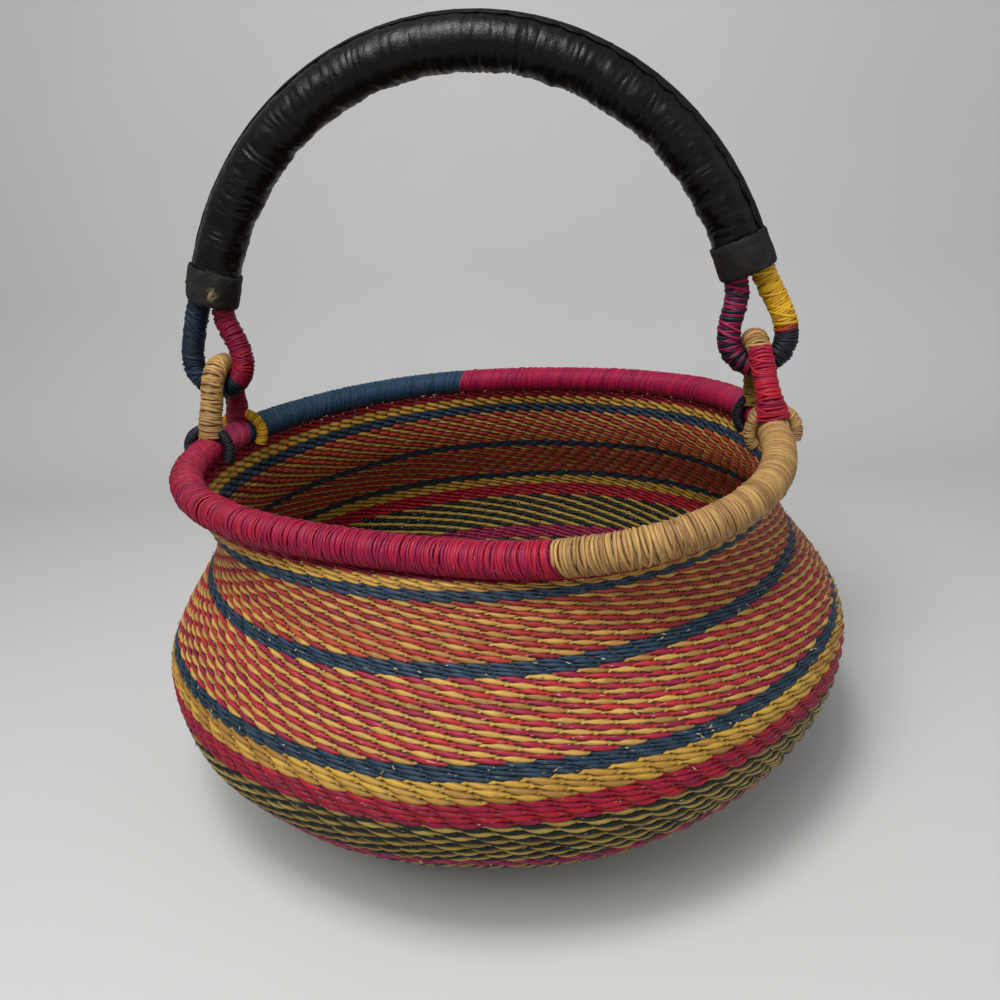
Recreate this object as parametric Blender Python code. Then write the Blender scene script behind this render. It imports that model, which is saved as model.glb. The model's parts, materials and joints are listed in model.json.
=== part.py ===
"""Round woven straw basket with a wrapped rim and a stiff leather-covered handle.

The bowl is a set of colour courses, each a closed ring of the woven wall, standing on
each other from the flat base up. A wrapped hoop sits on the wall. Two bails stand on the
hoop, each held down by two forks that straddle it. The handle ends in two long rings, and
each ring is linked through a bail, so the handle swings over to either side.

Metres, +Z up. X runs from bail to bail, -Y is the front, and the base rests on z = 0.
"""

import math

import bmesh
import bpy
from mathutils import Matrix, Vector

MM = 0.001
DEGREE = math.pi / 180
FULL_TURN = 2 * math.pi
SHARP_ANGLE = 35 * DEGREE
FIT_GAP = 0.3 * MM
OVERRUN = 5 * MM

# Bowl: the outline of its outer surface, from the middle of the base to the wall's top
BASE_CENTRE_RADIUS = 44 * MM
BASE_RADIUS = 74 * MM
BELLY_RADIUS = 196 * MM
BELLY_HEIGHT = 81 * MM
NECK_RADIUS = 158 * MM
NECK_HEIGHT = 160 * MM
WALL_HEIGHT = 176 * MM
WALL = 4.5 * MM

# Mouth: how the hand-made rim differs from a circle, in plan and then in height
MOUTH_STRETCH = 7 * MM
MOUTH_SQUARE = 6 * MM
MOUTH_TURN = 9 * DEGREE
MOUTH_LOBE = 4.5 * MM
LOBE_TURN = 16 * DEGREE
MOUTH_FORWARD = 3 * MM
MOUTH_LIFT = 4 * MM
MOUTH_TILT = 2 * MM
MOUTH_LEAN = 5 * MM
MOUTH_DIP = 2 * MM
MOUTH_POWER = 8

# Weave: the height of an even row of stitches
ROW = 2.6 * MM
RIDGE_PITCH = 22 * MM
GROOVE_DEPTH = 1.2 * MM

# Rim
RIM_RADIUS = 8.3 * MM
RIM_CORE_RADIUS = 5.4 * MM

# Strand wound round the bails and the handle's rings
STRAND_RADIUS = 1.5 * MM
STRAND_GAP = 0.8 * MM
LEG_PITCH = 4.8 * MM
LINK_CORE_RADIUS = 2.7 * MM
LINK_PLAY = 0.8 * MM
LEAST_PITCH_SHARE = 0.1

# Bails and forks
BAIL_BEND_RADIUS = 14.4 * MM
BAIL_FOOT_SPREAD = 18.5 * MM
LEFT_BAIL_RISE = 46 * MM
RIGHT_BAIL_RISE = 47 * MM
LEFT_BAIL_LEAN = 8 * DEGREE
RIGHT_BAIL_LEAN = 10 * DEGREE
FORK_RADIUS = 3.5 * MM
FORK_REACH = 122 * DEGREE

# Handle: it follows a tall half ellipse over the line between the pivots
ARCH_CENTRE_HEIGHT = 9.2 * MM
ARCH_RISE = 156.5 * MM
ARCH_INSET = 1.4 * MM
ARCH_SHIFT = 2.2 * MM
CUFF_TOP_HEIGHT = 66 * MM
CUFF_LENGTH = 19 * MM
CUFF_FLOOR = 8 * MM
CUFF_WALL = 1.3 * MM
LEATHER_RADIUS = 12.9 * MM
LEATHER_WALL = 1.8 * MM
SEAM_WIDTH = 5 * MM
SEAM_HEIGHT = 2.2 * MM
RING_BEND_RADIUS = 15 * MM
RING_NECK = 7 * MM
RING_UPRIGHT_SHARE = 0.5
CUFF_CLEARANCE = 0.9 * MM

# Faceting
ROUND_STEPS = 36
RIM_STEPS = 48
ARCH_STEPS = 24
BEND_STEPS = 120
LEG_STEPS = 60
OUTLINE_STEPS = 200
CORE_STEPS = 21
FORK_POINTS = 13
TURN_POINTS = 8
CUFF_SIDES = 20
BORE_SIDES = 12

# Colour courses of the wall, from the rim down: name, rows, height of a row as a share
# of an even row, colour
COURSES = (
    ("red_rows", 2, 0.83, (0.62, 0.13, 0.22)),
    ("yellow_rows", 2, 1.04, (0.76, 0.58, 0.26)),
    ("navy_rows", 2, 1.13, (0.13, 0.20, 0.30)),
    ("mixed_zone_upper", 10, 1, (0.62, 0.28, 0.18)),
    ("blue_band_upper", 3, 0.8, (0.16, 0.27, 0.35)),
    ("mixed_zone_lower", 13, 1.01, (0.64, 0.24, 0.20)),
    ("blue_band_lower", 3, 0.84, (0.16, 0.27, 0.35)),
    ("yellow_band", 3, 1.15, (0.76, 0.58, 0.26)),
    ("red_band", 4, 1.07, (0.60, 0.13, 0.20)),
    ("dark_zone", 11, 0.98, (0.12, 0.18, 0.17)),
    ("magenta_ring", 4, 1, (0.55, 0.10, 0.22)),
)

# Colour stretches of the rim's wrapping: name, first and last angle from +X, colour
RIM_WRAPS = (
    ("rim_wrap_magenta_front", 186, 287, (0.72, 0.15, 0.30)),
    ("rim_wrap_tan", 287, 364, (0.80, 0.64, 0.40)),
    ("rim_wrap_magenta_back", 364, 464.5, (0.66, 0.13, 0.27)),
    ("rim_wrap_blue", 464.5, 534, (0.16, 0.27, 0.36)),
    ("rim_wrap_pink", 534, 546, (0.76, 0.25, 0.38)),
)

# Windings along a bail from its front foot, or along a ring from its left leg:
# name, first and last share of the run, colour
LEFT_BAIL_WINDINGS = (
    ("left_bail_tan_winding", 0, 0.66, (0.80, 0.63, 0.38)),
    ("left_bail_magenta_winding", 0.66, 1, (0.66, 0.10, 0.26)),
)
RIGHT_BAIL_WINDINGS = (
    ("right_bail_magenta_winding", 0, 0.36, (0.72, 0.13, 0.25)),
    ("right_bail_tan_winding", 0.36, 0.72, (0.80, 0.63, 0.38)),
    ("right_bail_olive_winding", 0.72, 1, (0.62, 0.52, 0.22)),
)
LEFT_RING_WINDINGS = (
    ("left_ring_blue_winding", 0, 0.41, (0.13, 0.24, 0.31)),
    ("left_ring_teal_winding", 0.41, 0.61, (0.10, 0.20, 0.23)),
    ("left_ring_magenta_winding", 0.61, 1, (0.66, 0.08, 0.26)),
)
RIGHT_RING_WINDINGS = (
    ("right_ring_striped_winding", 0, 0.54, (0.42, 0.08, 0.27)),
    ("right_ring_navy_winding", 0.54, 0.68, (0.16, 0.14, 0.24)),
    ("right_ring_yellow_winding", 0.68, 1, (0.84, 0.64, 0.18)),
)
CORE_COLOUR = (0.66, 0.54, 0.34)
LEATHER_COLOUR = (0.02, 0.02, 0.022)
CUFF_COLOUR = (0.05, 0.045, 0.04)
SEAM_COLOUR = (0.07, 0.06, 0.05)
FORK_COLOURS = {
    "left_front_fork": (0.10, 0.18, 0.26),
    "left_back_fork": (0.78, 0.58, 0.20),
    "right_front_fork": (0.78, 0.62, 0.38),
    "right_back_fork": (0.10, 0.12, 0.24),
}


def clear_scene():
    for old in list(bpy.data.objects):
        bpy.data.objects.remove(old)


def paint(piece, colour, roughness=0.75):
    """Give a piece its own material."""
    finish = bpy.data.materials.new(piece.name)
    finish.use_nodes = True
    shader = finish.node_tree.nodes["Principled BSDF"]
    shader.inputs["Base Color"].default_value = (*colour, 1)
    shader.inputs["Roughness"].default_value = roughness
    shader.inputs["Metallic"].default_value = 0
    piece.data.materials.append(finish)


def piece_from_mesh(name, bm, colour, roughness=0.75, parent=None):
    """Turn a bmesh into a named, smooth-shaded object with its own material."""
    bmesh.ops.recalc_face_normals(bm, faces=bm.faces)
    mesh = bpy.data.meshes.new(name)
    bm.to_mesh(mesh)
    bm.free()
    mesh.shade_smooth()
    mesh.set_sharp_from_angle(angle=SHARP_ANGLE)
    piece = bpy.data.objects.new(name, mesh)
    piece.parent = parent
    bpy.context.scene.collection.objects.link(piece)
    paint(piece, colour, roughness)
    return piece


def rod(name, points, radius, colour, sides=8, closed=False, parent=None, roughness=0.75):
    """A solid round rod along a run of points, its ends filled."""
    curve = bpy.data.curves.new(name, "CURVE")
    curve.dimensions = "3D"
    spline = curve.splines.new("POLY")
    spline.points.add(len(points) - 1)
    for knot, point in zip(spline.points, points):
        knot.co = (*point, 1)
    spline.use_cyclic_u = closed
    spline.use_smooth = True
    curve.bevel_depth = radius
    curve.bevel_resolution = sides // 2 - 2
    curve.use_fill_caps = not closed
    piece = bpy.data.objects.new(name, curve)
    piece.parent = parent
    bpy.context.scene.collection.objects.link(piece)
    paint(piece, colour, roughness)
    return piece


def sleeve(name, points, radius, wall, colour, sides=12, parent=None, roughness=0.75):
    """A hollow tube along a run of points, open at both ends, its wall taken at a corner."""
    piece = rod(name, points, radius, colour, sides, parent=parent, roughness=roughness)
    piece.data.use_fill_caps = False
    shell = piece.modifiers.new("wall", "SOLIDIFY")
    shell.thickness = wall * math.cos(math.pi / sides)
    shell.offset = -1
    shell.use_even_offset = True
    shell.use_rim = True
    return piece


# Outline of the bowl


def bowl_outline():
    """Points (r, z) of the outer surface, from the middle of the base to the wall's top."""
    points = [(0, 0), (BASE_RADIUS, 0)]
    for step in range(1, OUTLINE_STEPS + 1):
        turn = step / OUTLINE_STEPS * math.pi / 2
        points.append((
            BASE_RADIUS + (BELLY_RADIUS - BASE_RADIUS) * math.sin(turn),
            BELLY_HEIGHT * (1 - math.cos(turn)),
        ))
    for step in range(1, OUTLINE_STEPS + 1):
        height = BELLY_HEIGHT + (WALL_HEIGHT - BELLY_HEIGHT) * step / OUTLINE_STEPS
        climb = min(1, (height - BELLY_HEIGHT) / (NECK_HEIGHT - BELLY_HEIGHT))
        draw_in = (1 - math.cos(math.pi * climb)) / 2
        points.append((BELLY_RADIUS - (BELLY_RADIUS - NECK_RADIUS) * draw_in, height))
    return points


def measured(points):
    """Length along a run of points, at each point."""
    lengths = [0]
    for first, second in zip(points, points[1:]):
        lengths.append(lengths[-1] + (Vector(second) - Vector(first)).length)
    return lengths


def along(points, lengths, run):
    """Point and direction on a run of points, at a length along it."""
    run = min(max(run, 0), lengths[-1])
    last = next(i for i in range(1, len(lengths)) if lengths[i] >= run or i == len(lengths) - 1)
    start, end = Vector(points[last - 1]), Vector(points[last])
    part = (run - lengths[last - 1]) / (lengths[last] - lengths[last - 1])
    return start.lerp(end, part), (end - start).normalized()


OUTLINE = bowl_outline()
OUTLINE_LENGTHS = measured(OUTLINE)
WALL_RUN = OUTLINE_LENGTHS[-1]


def wall_section(run, depth):
    """Radius and height of the wall at a run along its outline, a depth under the surface."""
    point, heading = along(OUTLINE, OUTLINE_LENGTHS, run)
    return point.x - depth * heading.y, point.y + depth * heading.x


def woven(radius, height, angle):
    """Place a point of the round bowl on the real bowl, whose mouth isn't round or level."""
    climb = (height - BELLY_HEIGHT) / (WALL_HEIGHT - BELLY_HEIGHT)
    share = min(1, max(0, climb)) ** MOUTH_POWER
    swell = (
        MOUTH_STRETCH * math.cos(2 * (angle + MOUTH_TURN))
        - MOUTH_SQUARE * math.cos(4 * (angle + MOUTH_TURN))
        - MOUTH_LOBE * math.cos(3 * (angle - LOBE_TURN))
    )
    lift = (
        MOUTH_LIFT * math.cos(2 * angle) - MOUTH_TILT * math.cos(angle)
        + MOUTH_LEAN * math.sin(angle) - MOUTH_DIP * math.sin(3 * angle)
    )
    return Vector((
        (radius + share * swell) * math.cos(angle),
        (radius + share * swell) * math.sin(angle) - share * MOUTH_FORWARD,
        height + share * lift,
    ))


def course(name, first_run, last_run, colour):
    """One closed ring of the wall, raised in broad ridges where it is wide enough."""
    steps = max(1, 2 * round((last_run - first_run) / RIDGE_PITCH))
    runs = [first_run + (last_run - first_run) * step / steps for step in range(steps + 1)]
    depths = [GROOVE_DEPTH if step % 2 else 0 for step in range(steps + 1)]
    section = [wall_section(run, depth) for run, depth in zip(runs, depths)]
    section += [
        wall_section(run, WALL - depth) for run, depth in zip(reversed(runs), reversed(depths))
    ]
    bm = bmesh.new()
    corners = [bm.verts.new((radius, 0, height)) for radius, height in section]
    edges = [bm.edges.new(pair) for pair in zip(corners, corners[1:] + corners[:1])]
    bmesh.ops.spin(
        bm, geom=corners + edges, cent=(0, 0, 0), axis=(0, 0, 1),
        angle=FULL_TURN, steps=ROUND_STEPS, use_merge=True,
    )
    for corner in bm.verts:
        x, y, height = corner.co
        corner.co = woven(math.hypot(x, y), height, math.atan2(y, x))
    return piece_from_mesh(name, bm, colour)


def base_centre():
    """The disc that the weave starts from, flat on the table."""
    bm = bmesh.new()
    bmesh.ops.create_cone(
        bm, cap_ends=True, cap_tris=False, segments=ROUND_STEPS,
        radius1=BASE_CENTRE_RADIUS, radius2=BASE_CENTRE_RADIUS, depth=WALL,
        matrix=Matrix.Translation((0, 0, WALL / 2)),
    )
    return piece_from_mesh("base_centre", bm, (0.13, 0.15, 0.15))


def build_bowl():
    top = WALL_RUN
    for name, rows, row_share, colour in COURSES:
        bottom = top - rows * row_share * ROW
        course(name, bottom + FIT_GAP / 2, top - FIT_GAP / 2, colour)
        top = bottom
    course("base_dark_zone", BASE_CENTRE_RADIUS + FIT_GAP, top - FIT_GAP / 2, (0.10, 0.15, 0.15))
    base_centre()


# Rim


def rim_centre(angle):
    """Middle of the rim's tube, which sits square on the wall's top edge."""
    radius, height = wall_section(WALL_RUN, WALL / 2)
    _, heading = along(OUTLINE, OUTLINE_LENGTHS, WALL_RUN)
    seat = RIM_RADIUS + FIT_GAP
    return woven(radius + seat * heading.x, height + seat * heading.y, angle)


def rim_station(station):
    """Point of the rim's faceted route, counted in stations round from +X."""
    before = math.floor(station)
    start, end = (rim_centre(index / RIM_STEPS * FULL_TURN) for index in (before, before + 1))
    return start.lerp(end, station - before)


def build_rim():
    stations = [rim_station(index) for index in range(RIM_STEPS)]
    hoop = rod("rim_core", stations, RIM_CORE_RADIUS, CORE_COLOUR, closed=True)
    hoop.data.twist_mode = "Z_UP"
    per_degree = RIM_STEPS * DEGREE / FULL_TURN
    half_gap = FIT_GAP / 2 / (NECK_RADIUS * FULL_TURN / RIM_STEPS)
    for name, first, last, colour in RIM_WRAPS:
        start, stop = first * per_degree + half_gap, last * per_degree - half_gap
        inner = range(math.ceil(start), math.floor(stop) + 1)
        route = [rim_station(station) for station in (start, *inner, stop)]
        wall = RIM_RADIUS - RIM_CORE_RADIUS - FIT_GAP
        wrap = sleeve(name, route, RIM_RADIUS, wall, colour, sides=8)
        wrap.data.twist_mode = "Z_UP"


# Windings

COIL_RADIUS = (LINK_CORE_RADIUS + FIT_GAP + STRAND_RADIUS) / math.cos(math.pi / TURN_POINTS)
LINK_RADIUS = COIL_RADIUS + STRAND_RADIUS
least_gaps = []
turns_wound = []


def local_pitch(points, lengths, run):
    """Pitch of a winding, wider in a bend, where the inside of the turns crowds."""
    reach = 2 * STRAND_RADIUS
    before = along(points, lengths, run - reach)[1]
    after = along(points, lengths, run + reach)[1]
    bend = before.angle(after) / (2 * reach)
    inner_share = max(LEAST_PITCH_SHARE, 1 - COIL_RADIUS * bend)
    tightest = (2 * STRAND_RADIUS + STRAND_GAP) / inner_share
    return max(LEG_PITCH, tightest)


def winding(name, points, side, first_share, last_share, colour, parent=None):
    """One unbroken strand wound round part of a link, as a helix on the link's route."""
    lengths = measured(points)
    margin = STRAND_RADIUS + FIT_GAP / 2
    run = first_share * lengths[-1] + margin
    stop = last_share * lengths[-1] - margin
    strand = []
    turn = 0
    while run < stop:
        centre, heading = along(points, lengths, run)
        across = side.cross(heading)
        strand.append(
            centre + COIL_RADIUS * (math.cos(turn) * across + math.sin(turn) * side)
        )
        turn += FULL_TURN / TURN_POINTS
        run += local_pitch(points, lengths, run) / TURN_POINTS
    apart = TURN_POINTS // 2
    gaps = [
        (strand[far] - strand[near]).length - 2 * STRAND_RADIUS
        for near in range(len(strand)) for far in range(near + apart, len(strand))
    ]
    least_gaps.append((min(gaps), name))
    turns_wound.append(len(strand) / TURN_POINTS)
    return rod(name, strand, STRAND_RADIUS, colour, sides=6, parent=parent)


# Bails


def bail_frame(sign):
    """Rim point under a bail, and the bail's directions: up along it, and outward."""
    foot = rim_centre(0 if sign > 0 else math.pi)
    lean = RIGHT_BAIL_LEAN if sign > 0 else LEFT_BAIL_LEAN
    up = Vector((-sign * math.sin(lean), 0, math.cos(lean)))
    out = Vector((sign * math.cos(lean), 0, math.sin(lean)))
    return foot, up, out


def bail_route(sign, rise):
    """Centreline of a bail, from its front foot over the crown to its back foot."""
    foot, up, _ = bail_frame(sign)
    start = 2 * FORK_RADIUS + RIM_RADIUS + 2 * FIT_GAP
    bend = rise - BAIL_BEND_RADIUS
    leg = []
    for step in range(LEG_STEPS):
        part = step / LEG_STEPS
        ease = (1 + math.cos(math.pi * part)) / 2
        half = BAIL_BEND_RADIUS + (BAIL_FOOT_SPREAD - BAIL_BEND_RADIUS) * ease
        leg.append((half, start + (bend - start) * part))
    crown = [
        (BAIL_BEND_RADIUS * math.cos(step / BEND_STEPS * math.pi),
         bend + BAIL_BEND_RADIUS * math.sin(step / BEND_STEPS * math.pi))
        for step in range(BEND_STEPS + 1)
    ]
    outline = leg + crown + [(-half, height) for half, height in reversed(leg)]
    return [foot + Vector((0, -half, 0)) + height * up for half, height in outline]


def thinned(points, steps):
    """Points at even steps along a fine route, both ends included."""
    lengths = measured(points)
    return [along(points, lengths, lengths[-1] * step / steps)[0] for step in range(steps + 1)]


def fork(name, sign, y):
    """A loop bound over the rim, from its outer side over the top to its inner side."""
    _, up, out = bail_frame(sign)
    angle = math.asin(y / NECK_RADIUS)
    seat = rim_centre(angle if sign > 0 else math.pi - angle)
    reach = RIM_RADIUS + FIT_GAP + FORK_RADIUS
    turns = [
        FORK_REACH * (2 * step / (FORK_POINTS - 1) - 1) for step in range(FORK_POINTS)
    ]
    points = [seat + reach * (math.sin(turn) * out + math.cos(turn) * up) for turn in turns]
    rod(name, points, FORK_RADIUS, FORK_COLOURS[name], sides=8)


def build_bail(side_name, sign, rise, windings):
    route = bail_route(sign, rise)
    _, _, out = bail_frame(sign)
    rod(side_name + "_bail_core", thinned(route, CORE_STEPS), LINK_CORE_RADIUS, CORE_COLOUR, 6)
    for name, first, last, colour in windings:
        winding(name, route, out, first, last, colour)
    fork(side_name + "_front_fork", sign, -BAIL_FOOT_SPREAD)
    fork(side_name + "_back_fork", sign, BAIL_FOOT_SPREAD)


# Handle


def pivot(sign, rise):
    """Lowest point of a ring's centreline, hung in a bail: the handle turns about it."""
    foot, up, _ = bail_frame(sign)
    return foot + (rise - 2 * LINK_RADIUS - LINK_PLAY) * up


LEFT_PIVOT = pivot(-1, LEFT_BAIL_RISE)
RIGHT_PIVOT = pivot(1, RIGHT_BAIL_RISE)
HALF_SPAN = (RIGHT_PIVOT - LEFT_PIVOT).length / 2
ARCH_HALF_WIDTH = HALF_SPAN - ARCH_INSET
ARCH_START = math.asin((CUFF_TOP_HEIGHT - ARCH_CENTRE_HEIGHT) / ARCH_RISE)


def handle_axis():
    """An empty midway between the pivots, its X along the line that joins them."""
    axis = bpy.data.objects.new("handle_axis", None)
    bpy.context.scene.collection.objects.link(axis)
    line = RIGHT_PIVOT - LEFT_PIVOT
    axis.location = (LEFT_PIVOT + RIGHT_PIVOT) / 2
    axis.rotation_euler = (0, -math.atan2(line.z, line.x), 0)
    return axis


def arch_point(turn, offset=0):
    """Point of the handle's arch at an angle from +X, an offset outside its centreline."""
    x, z = ARCH_HALF_WIDTH * math.cos(turn), ARCH_RISE * math.sin(turn)
    outward = Vector((x / ARCH_HALF_WIDTH ** 2, 0, z / ARCH_RISE ** 2)).normalized()
    return Vector((x - ARCH_SHIFT, 0, ARCH_CENTRE_HEIGHT + z)) + offset * outward


def cuff_frame(sign):
    """Middle of a cuff's underside, and the cuff's direction up into the arch."""
    turn = ARCH_START if sign > 0 else math.pi - ARCH_START
    up = Vector((
        -sign * ARCH_HALF_WIDTH * math.sin(ARCH_START), 0, ARCH_RISE * math.cos(ARCH_START),
    )).normalized()
    return arch_point(turn) - CUFF_LENGTH * up, up


def ring_route(sign):
    """Centreline of a ring, from its left leg's end down, round the bend and up again."""
    foot, up = cuff_frame(sign)
    bottom = Vector((sign * HALF_SPAN, 0, 0))
    down = (bottom - foot).normalized().lerp(Vector((0, 0, -1)), RING_UPRIGHT_SHARE).normalized()
    bend_centre = bottom - RING_BEND_RADIUS * down
    reach = (foot - bend_centre).length / 3
    knots = (bend_centre, bend_centre - reach * down, foot - reach * up, foot)
    across = Vector((0, 1, 0))
    left, right = [], []
    for step in range(1, LEG_STEPS + 1):
        part = step / LEG_STEPS
        rest = 1 - part
        weights = (rest ** 3, 3 * part * rest ** 2, 3 * rest * part ** 2, part ** 3)
        middle = sum((weight * knot for weight, knot in zip(weights, knots)), Vector())
        slope = (
            rest ** 2 * (knots[1] - knots[0]) + 2 * part * rest * (knots[2] - knots[1])
            + part ** 2 * (knots[3] - knots[2])
        ).normalized()
        ease = (1 + math.cos(math.pi * part)) / 2
        half = RING_NECK + (RING_BEND_RADIUS - RING_NECK) * ease
        left.append(middle - half * across.cross(slope))
        right.append(middle + half * across.cross(slope))
    end = CUFF_FLOOR * up
    side = RING_BEND_RADIUS * across.cross(-down)
    bend = [
        bend_centre - math.cos(step / BEND_STEPS * math.pi) * side
        + math.sin(step / BEND_STEPS * math.pi) * RING_BEND_RADIUS * down
        for step in range(BEND_STEPS + 1)
    ]
    return [left[-1] + end, *reversed(left), *bend, *right, right[-1] + end]


def build_ring(side_name, sign, windings, axis):
    route = ring_route(sign)
    core_name = side_name + "_ring_core"
    rod(core_name, thinned(route, CORE_STEPS), LINK_CORE_RADIUS, CORE_COLOUR, 6, parent=axis)
    length = measured(route)[-1]
    hidden = CUFF_FLOOR + CUFF_CLEARANCE
    shown_share = 1 - 2 * hidden / length
    for name, first, last, colour in windings:
        start, stop = (hidden / length + share * shown_share for share in (first, last))
        winding(name, route, Vector((0, 1, 0)), start, stop, colour, parent=axis)


def handle_route():
    """Centreline of the handle, from the right cuff's floor over to the left cuff's."""
    turns = [
        ARCH_START + (math.pi - 2 * ARCH_START) * step / ARCH_STEPS
        for step in range(ARCH_STEPS + 1)
    ]
    ends = [foot + (CUFF_FLOOR + FIT_GAP) * up for foot, up in (cuff_frame(1), cuff_frame(-1))]
    return [ends[0], *(arch_point(turn) for turn in turns), ends[1]]


def drum(radius, low, high, sides, x=0):
    """A solid cylinder along Z as a bmesh."""
    bm = bmesh.new()
    bmesh.ops.create_cone(
        bm, cap_ends=True, cap_tris=False, segments=sides, radius1=radius, radius2=radius,
        depth=high - low, matrix=Matrix.Translation((x, 0, (low + high) / 2)),
    )
    return bm


def set_on_cuff_axis(piece, sign):
    foot, up = cuff_frame(sign)
    piece.location = foot
    piece.rotation_euler = (0, math.atan2(up.x, up.z), 0)


def cut_away(name, target, tool_mesh, sign):
    """Take a hidden drum out of a cuff."""
    tool = piece_from_mesh(name, tool_mesh, CUFF_COLOUR, parent=target.parent)
    set_on_cuff_axis(tool, sign)
    tool.hide_render = True
    tool.display_type = "WIRE"
    cut = target.modifiers.new(name, "BOOLEAN")
    cut.operation = "DIFFERENCE"
    cut.solver = "EXACT"
    cut.object = tool


def build_cuff(name, sign, axis):
    """A leather cuff over the handle's end, its floor bored for the ring's two legs."""
    seat = LEATHER_RADIUS + FIT_GAP
    shell = drum(seat + CUFF_WALL, 0, CUFF_LENGTH, CUFF_SIDES)
    cuff = piece_from_mesh(name, shell, CUFF_COLOUR, 0.7, parent=axis)
    set_on_cuff_axis(cuff, sign)
    cavity = drum(seat, CUFF_FLOOR, CUFF_LENGTH + OVERRUN, CUFF_SIDES)
    cut_away(name + "_cavity_cut", cuff, cavity, sign)
    for leg_name, x in (("left", -RING_NECK), ("right", RING_NECK)):
        bore = drum(LINK_CORE_RADIUS + FIT_GAP, -OVERRUN, CUFF_FLOOR + OVERRUN, BORE_SIDES, x)
        cut_away(name + "_" + leg_name + "_bore_cut", cuff, bore, sign)


def build_seam(axis):
    """The raised laced strip along the handle's outer edge, from cuff to cuff."""
    start = ARCH_START + FIT_GAP / ARCH_RISE
    low = LEATHER_RADIUS + FIT_GAP
    half = Vector((0, SEAM_WIDTH / 2, 0))
    bm = bmesh.new()
    rings = []
    for step in range(ARCH_STEPS + 1):
        turn = start + (math.pi - 2 * start) * step / ARCH_STEPS
        under, over = arch_point(turn, low), arch_point(turn, low + SEAM_HEIGHT)
        corners = (under - half, over - half, over + half, under + half)
        rings.append([bm.verts.new(corner) for corner in corners])
    for first, second in zip(rings, rings[1:]):
        for near, far in ((0, 1), (1, 2), (2, 3), (3, 0)):
            bm.faces.new((first[near], first[far], second[far], second[near]))
    bm.faces.new(rings[0])
    bm.faces.new(rings[-1])
    piece_from_mesh("handle_seam", bm, SEAM_COLOUR, 0.6, parent=axis)


def build_handle():
    axis = handle_axis()
    build_ring("left", -1, LEFT_RING_WINDINGS, axis)
    build_ring("right", 1, RIGHT_RING_WINDINGS, axis)
    route = handle_route()
    sleeve(
        "handle_leather", route, LEATHER_RADIUS, LEATHER_WALL, LEATHER_COLOUR,
        parent=axis, roughness=0.35,
    )
    core_radius = LEATHER_RADIUS - LEATHER_WALL - FIT_GAP
    rod("handle_core", route, core_radius, CORE_COLOUR, sides=12, parent=axis)
    build_seam(axis)
    build_cuff("left_cuff", -1, axis)
    build_cuff("right_cuff", 1, axis)


clear_scene()
build_bowl()
build_rim()
build_bail("left", -1, LEFT_BAIL_RISE, LEFT_BAIL_WINDINGS)
build_bail("right", 1, RIGHT_BAIL_RISE, RIGHT_BAIL_WINDINGS)
build_handle()

least, tightest_winding = min(least_gaps)
print("least gap of a winding to itself:", round(least / MM, 2), "mm, in", tightest_winding)
print("turns wound:", round(sum(turns_wound)))
print("handle turns about", [round(value, 5) for value in (LEFT_PIVOT + RIGHT_PIVOT) / 2])
print("along", [round(value, 5) for value in (RIGHT_PIVOT - LEFT_PIVOT).normalized()])
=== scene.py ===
# %% [markdown]
# # A round woven straw basket
#
# The real basket is made of dyed straw. Rows of two strands are twined round upright
# stakes, a wrapped hoop closes the mouth, and a stiff leather-covered handle swings in two
# wrapped bails. The CAD frame already holds every piece at its true place and size. This
# script gives each piece the straw, thread or leather that the eye sees, and it keeps to
# the same sizes, so the two models stay one object.

# %% Load the frame
import math

import bmesh
import bpy
import numpy as np
from mathutils import Matrix, Vector, noise
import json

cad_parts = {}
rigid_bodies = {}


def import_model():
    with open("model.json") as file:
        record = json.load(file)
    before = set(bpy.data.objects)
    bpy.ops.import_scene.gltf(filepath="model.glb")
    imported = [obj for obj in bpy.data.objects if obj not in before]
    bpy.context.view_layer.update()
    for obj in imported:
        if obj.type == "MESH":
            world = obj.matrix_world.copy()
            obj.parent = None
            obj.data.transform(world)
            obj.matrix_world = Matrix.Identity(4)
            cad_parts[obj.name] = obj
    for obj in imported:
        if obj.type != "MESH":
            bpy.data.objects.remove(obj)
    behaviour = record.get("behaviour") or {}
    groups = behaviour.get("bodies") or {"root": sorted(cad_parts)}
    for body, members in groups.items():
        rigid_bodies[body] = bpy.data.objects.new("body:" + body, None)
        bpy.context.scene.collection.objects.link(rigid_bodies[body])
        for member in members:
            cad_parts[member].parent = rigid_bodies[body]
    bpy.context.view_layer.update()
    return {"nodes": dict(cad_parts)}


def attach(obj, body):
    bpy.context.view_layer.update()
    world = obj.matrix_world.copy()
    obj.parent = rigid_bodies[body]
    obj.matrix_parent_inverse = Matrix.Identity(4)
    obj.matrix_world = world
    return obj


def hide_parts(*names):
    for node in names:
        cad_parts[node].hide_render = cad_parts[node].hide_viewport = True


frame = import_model()
print("CAD nodes:", len(frame["nodes"]))

# %% [markdown]
# ## Units and seeded chance
#
# Lengths are metres, so a value in millimetres is multiplied by MM. Hand work is uneven,
# and numpy's generator with a fixed seed gives the same unevenness at every run.

# %% Units and seeded chance
MM = 0.001
DEGREE = math.pi / 180
FULL_TURN = 2 * math.pi
UP = Vector((0, 0, 1))
chance = np.random.default_rng(11)

# %% [markdown]
# ## Camera
#
# The view decides how the basket is judged, so the camera comes first. Its distance,
# height and tilt were worked out from the ellipse of the rim and the colour bands. A
# rotation built from three directions at right angles avoids any guessing with angles.

# %% Camera
LENS = 28.8
EYE_DISTANCE = 479.7 * MM
LOOK_AT = Vector((1.8 * MM, 0, 145.1 * MM))
EYE_HEIGHT, EYE_TURN, EYE_TILT = 20.33 * DEGREE, -7.56 * DEGREE, -4.6 * DEGREE

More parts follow.
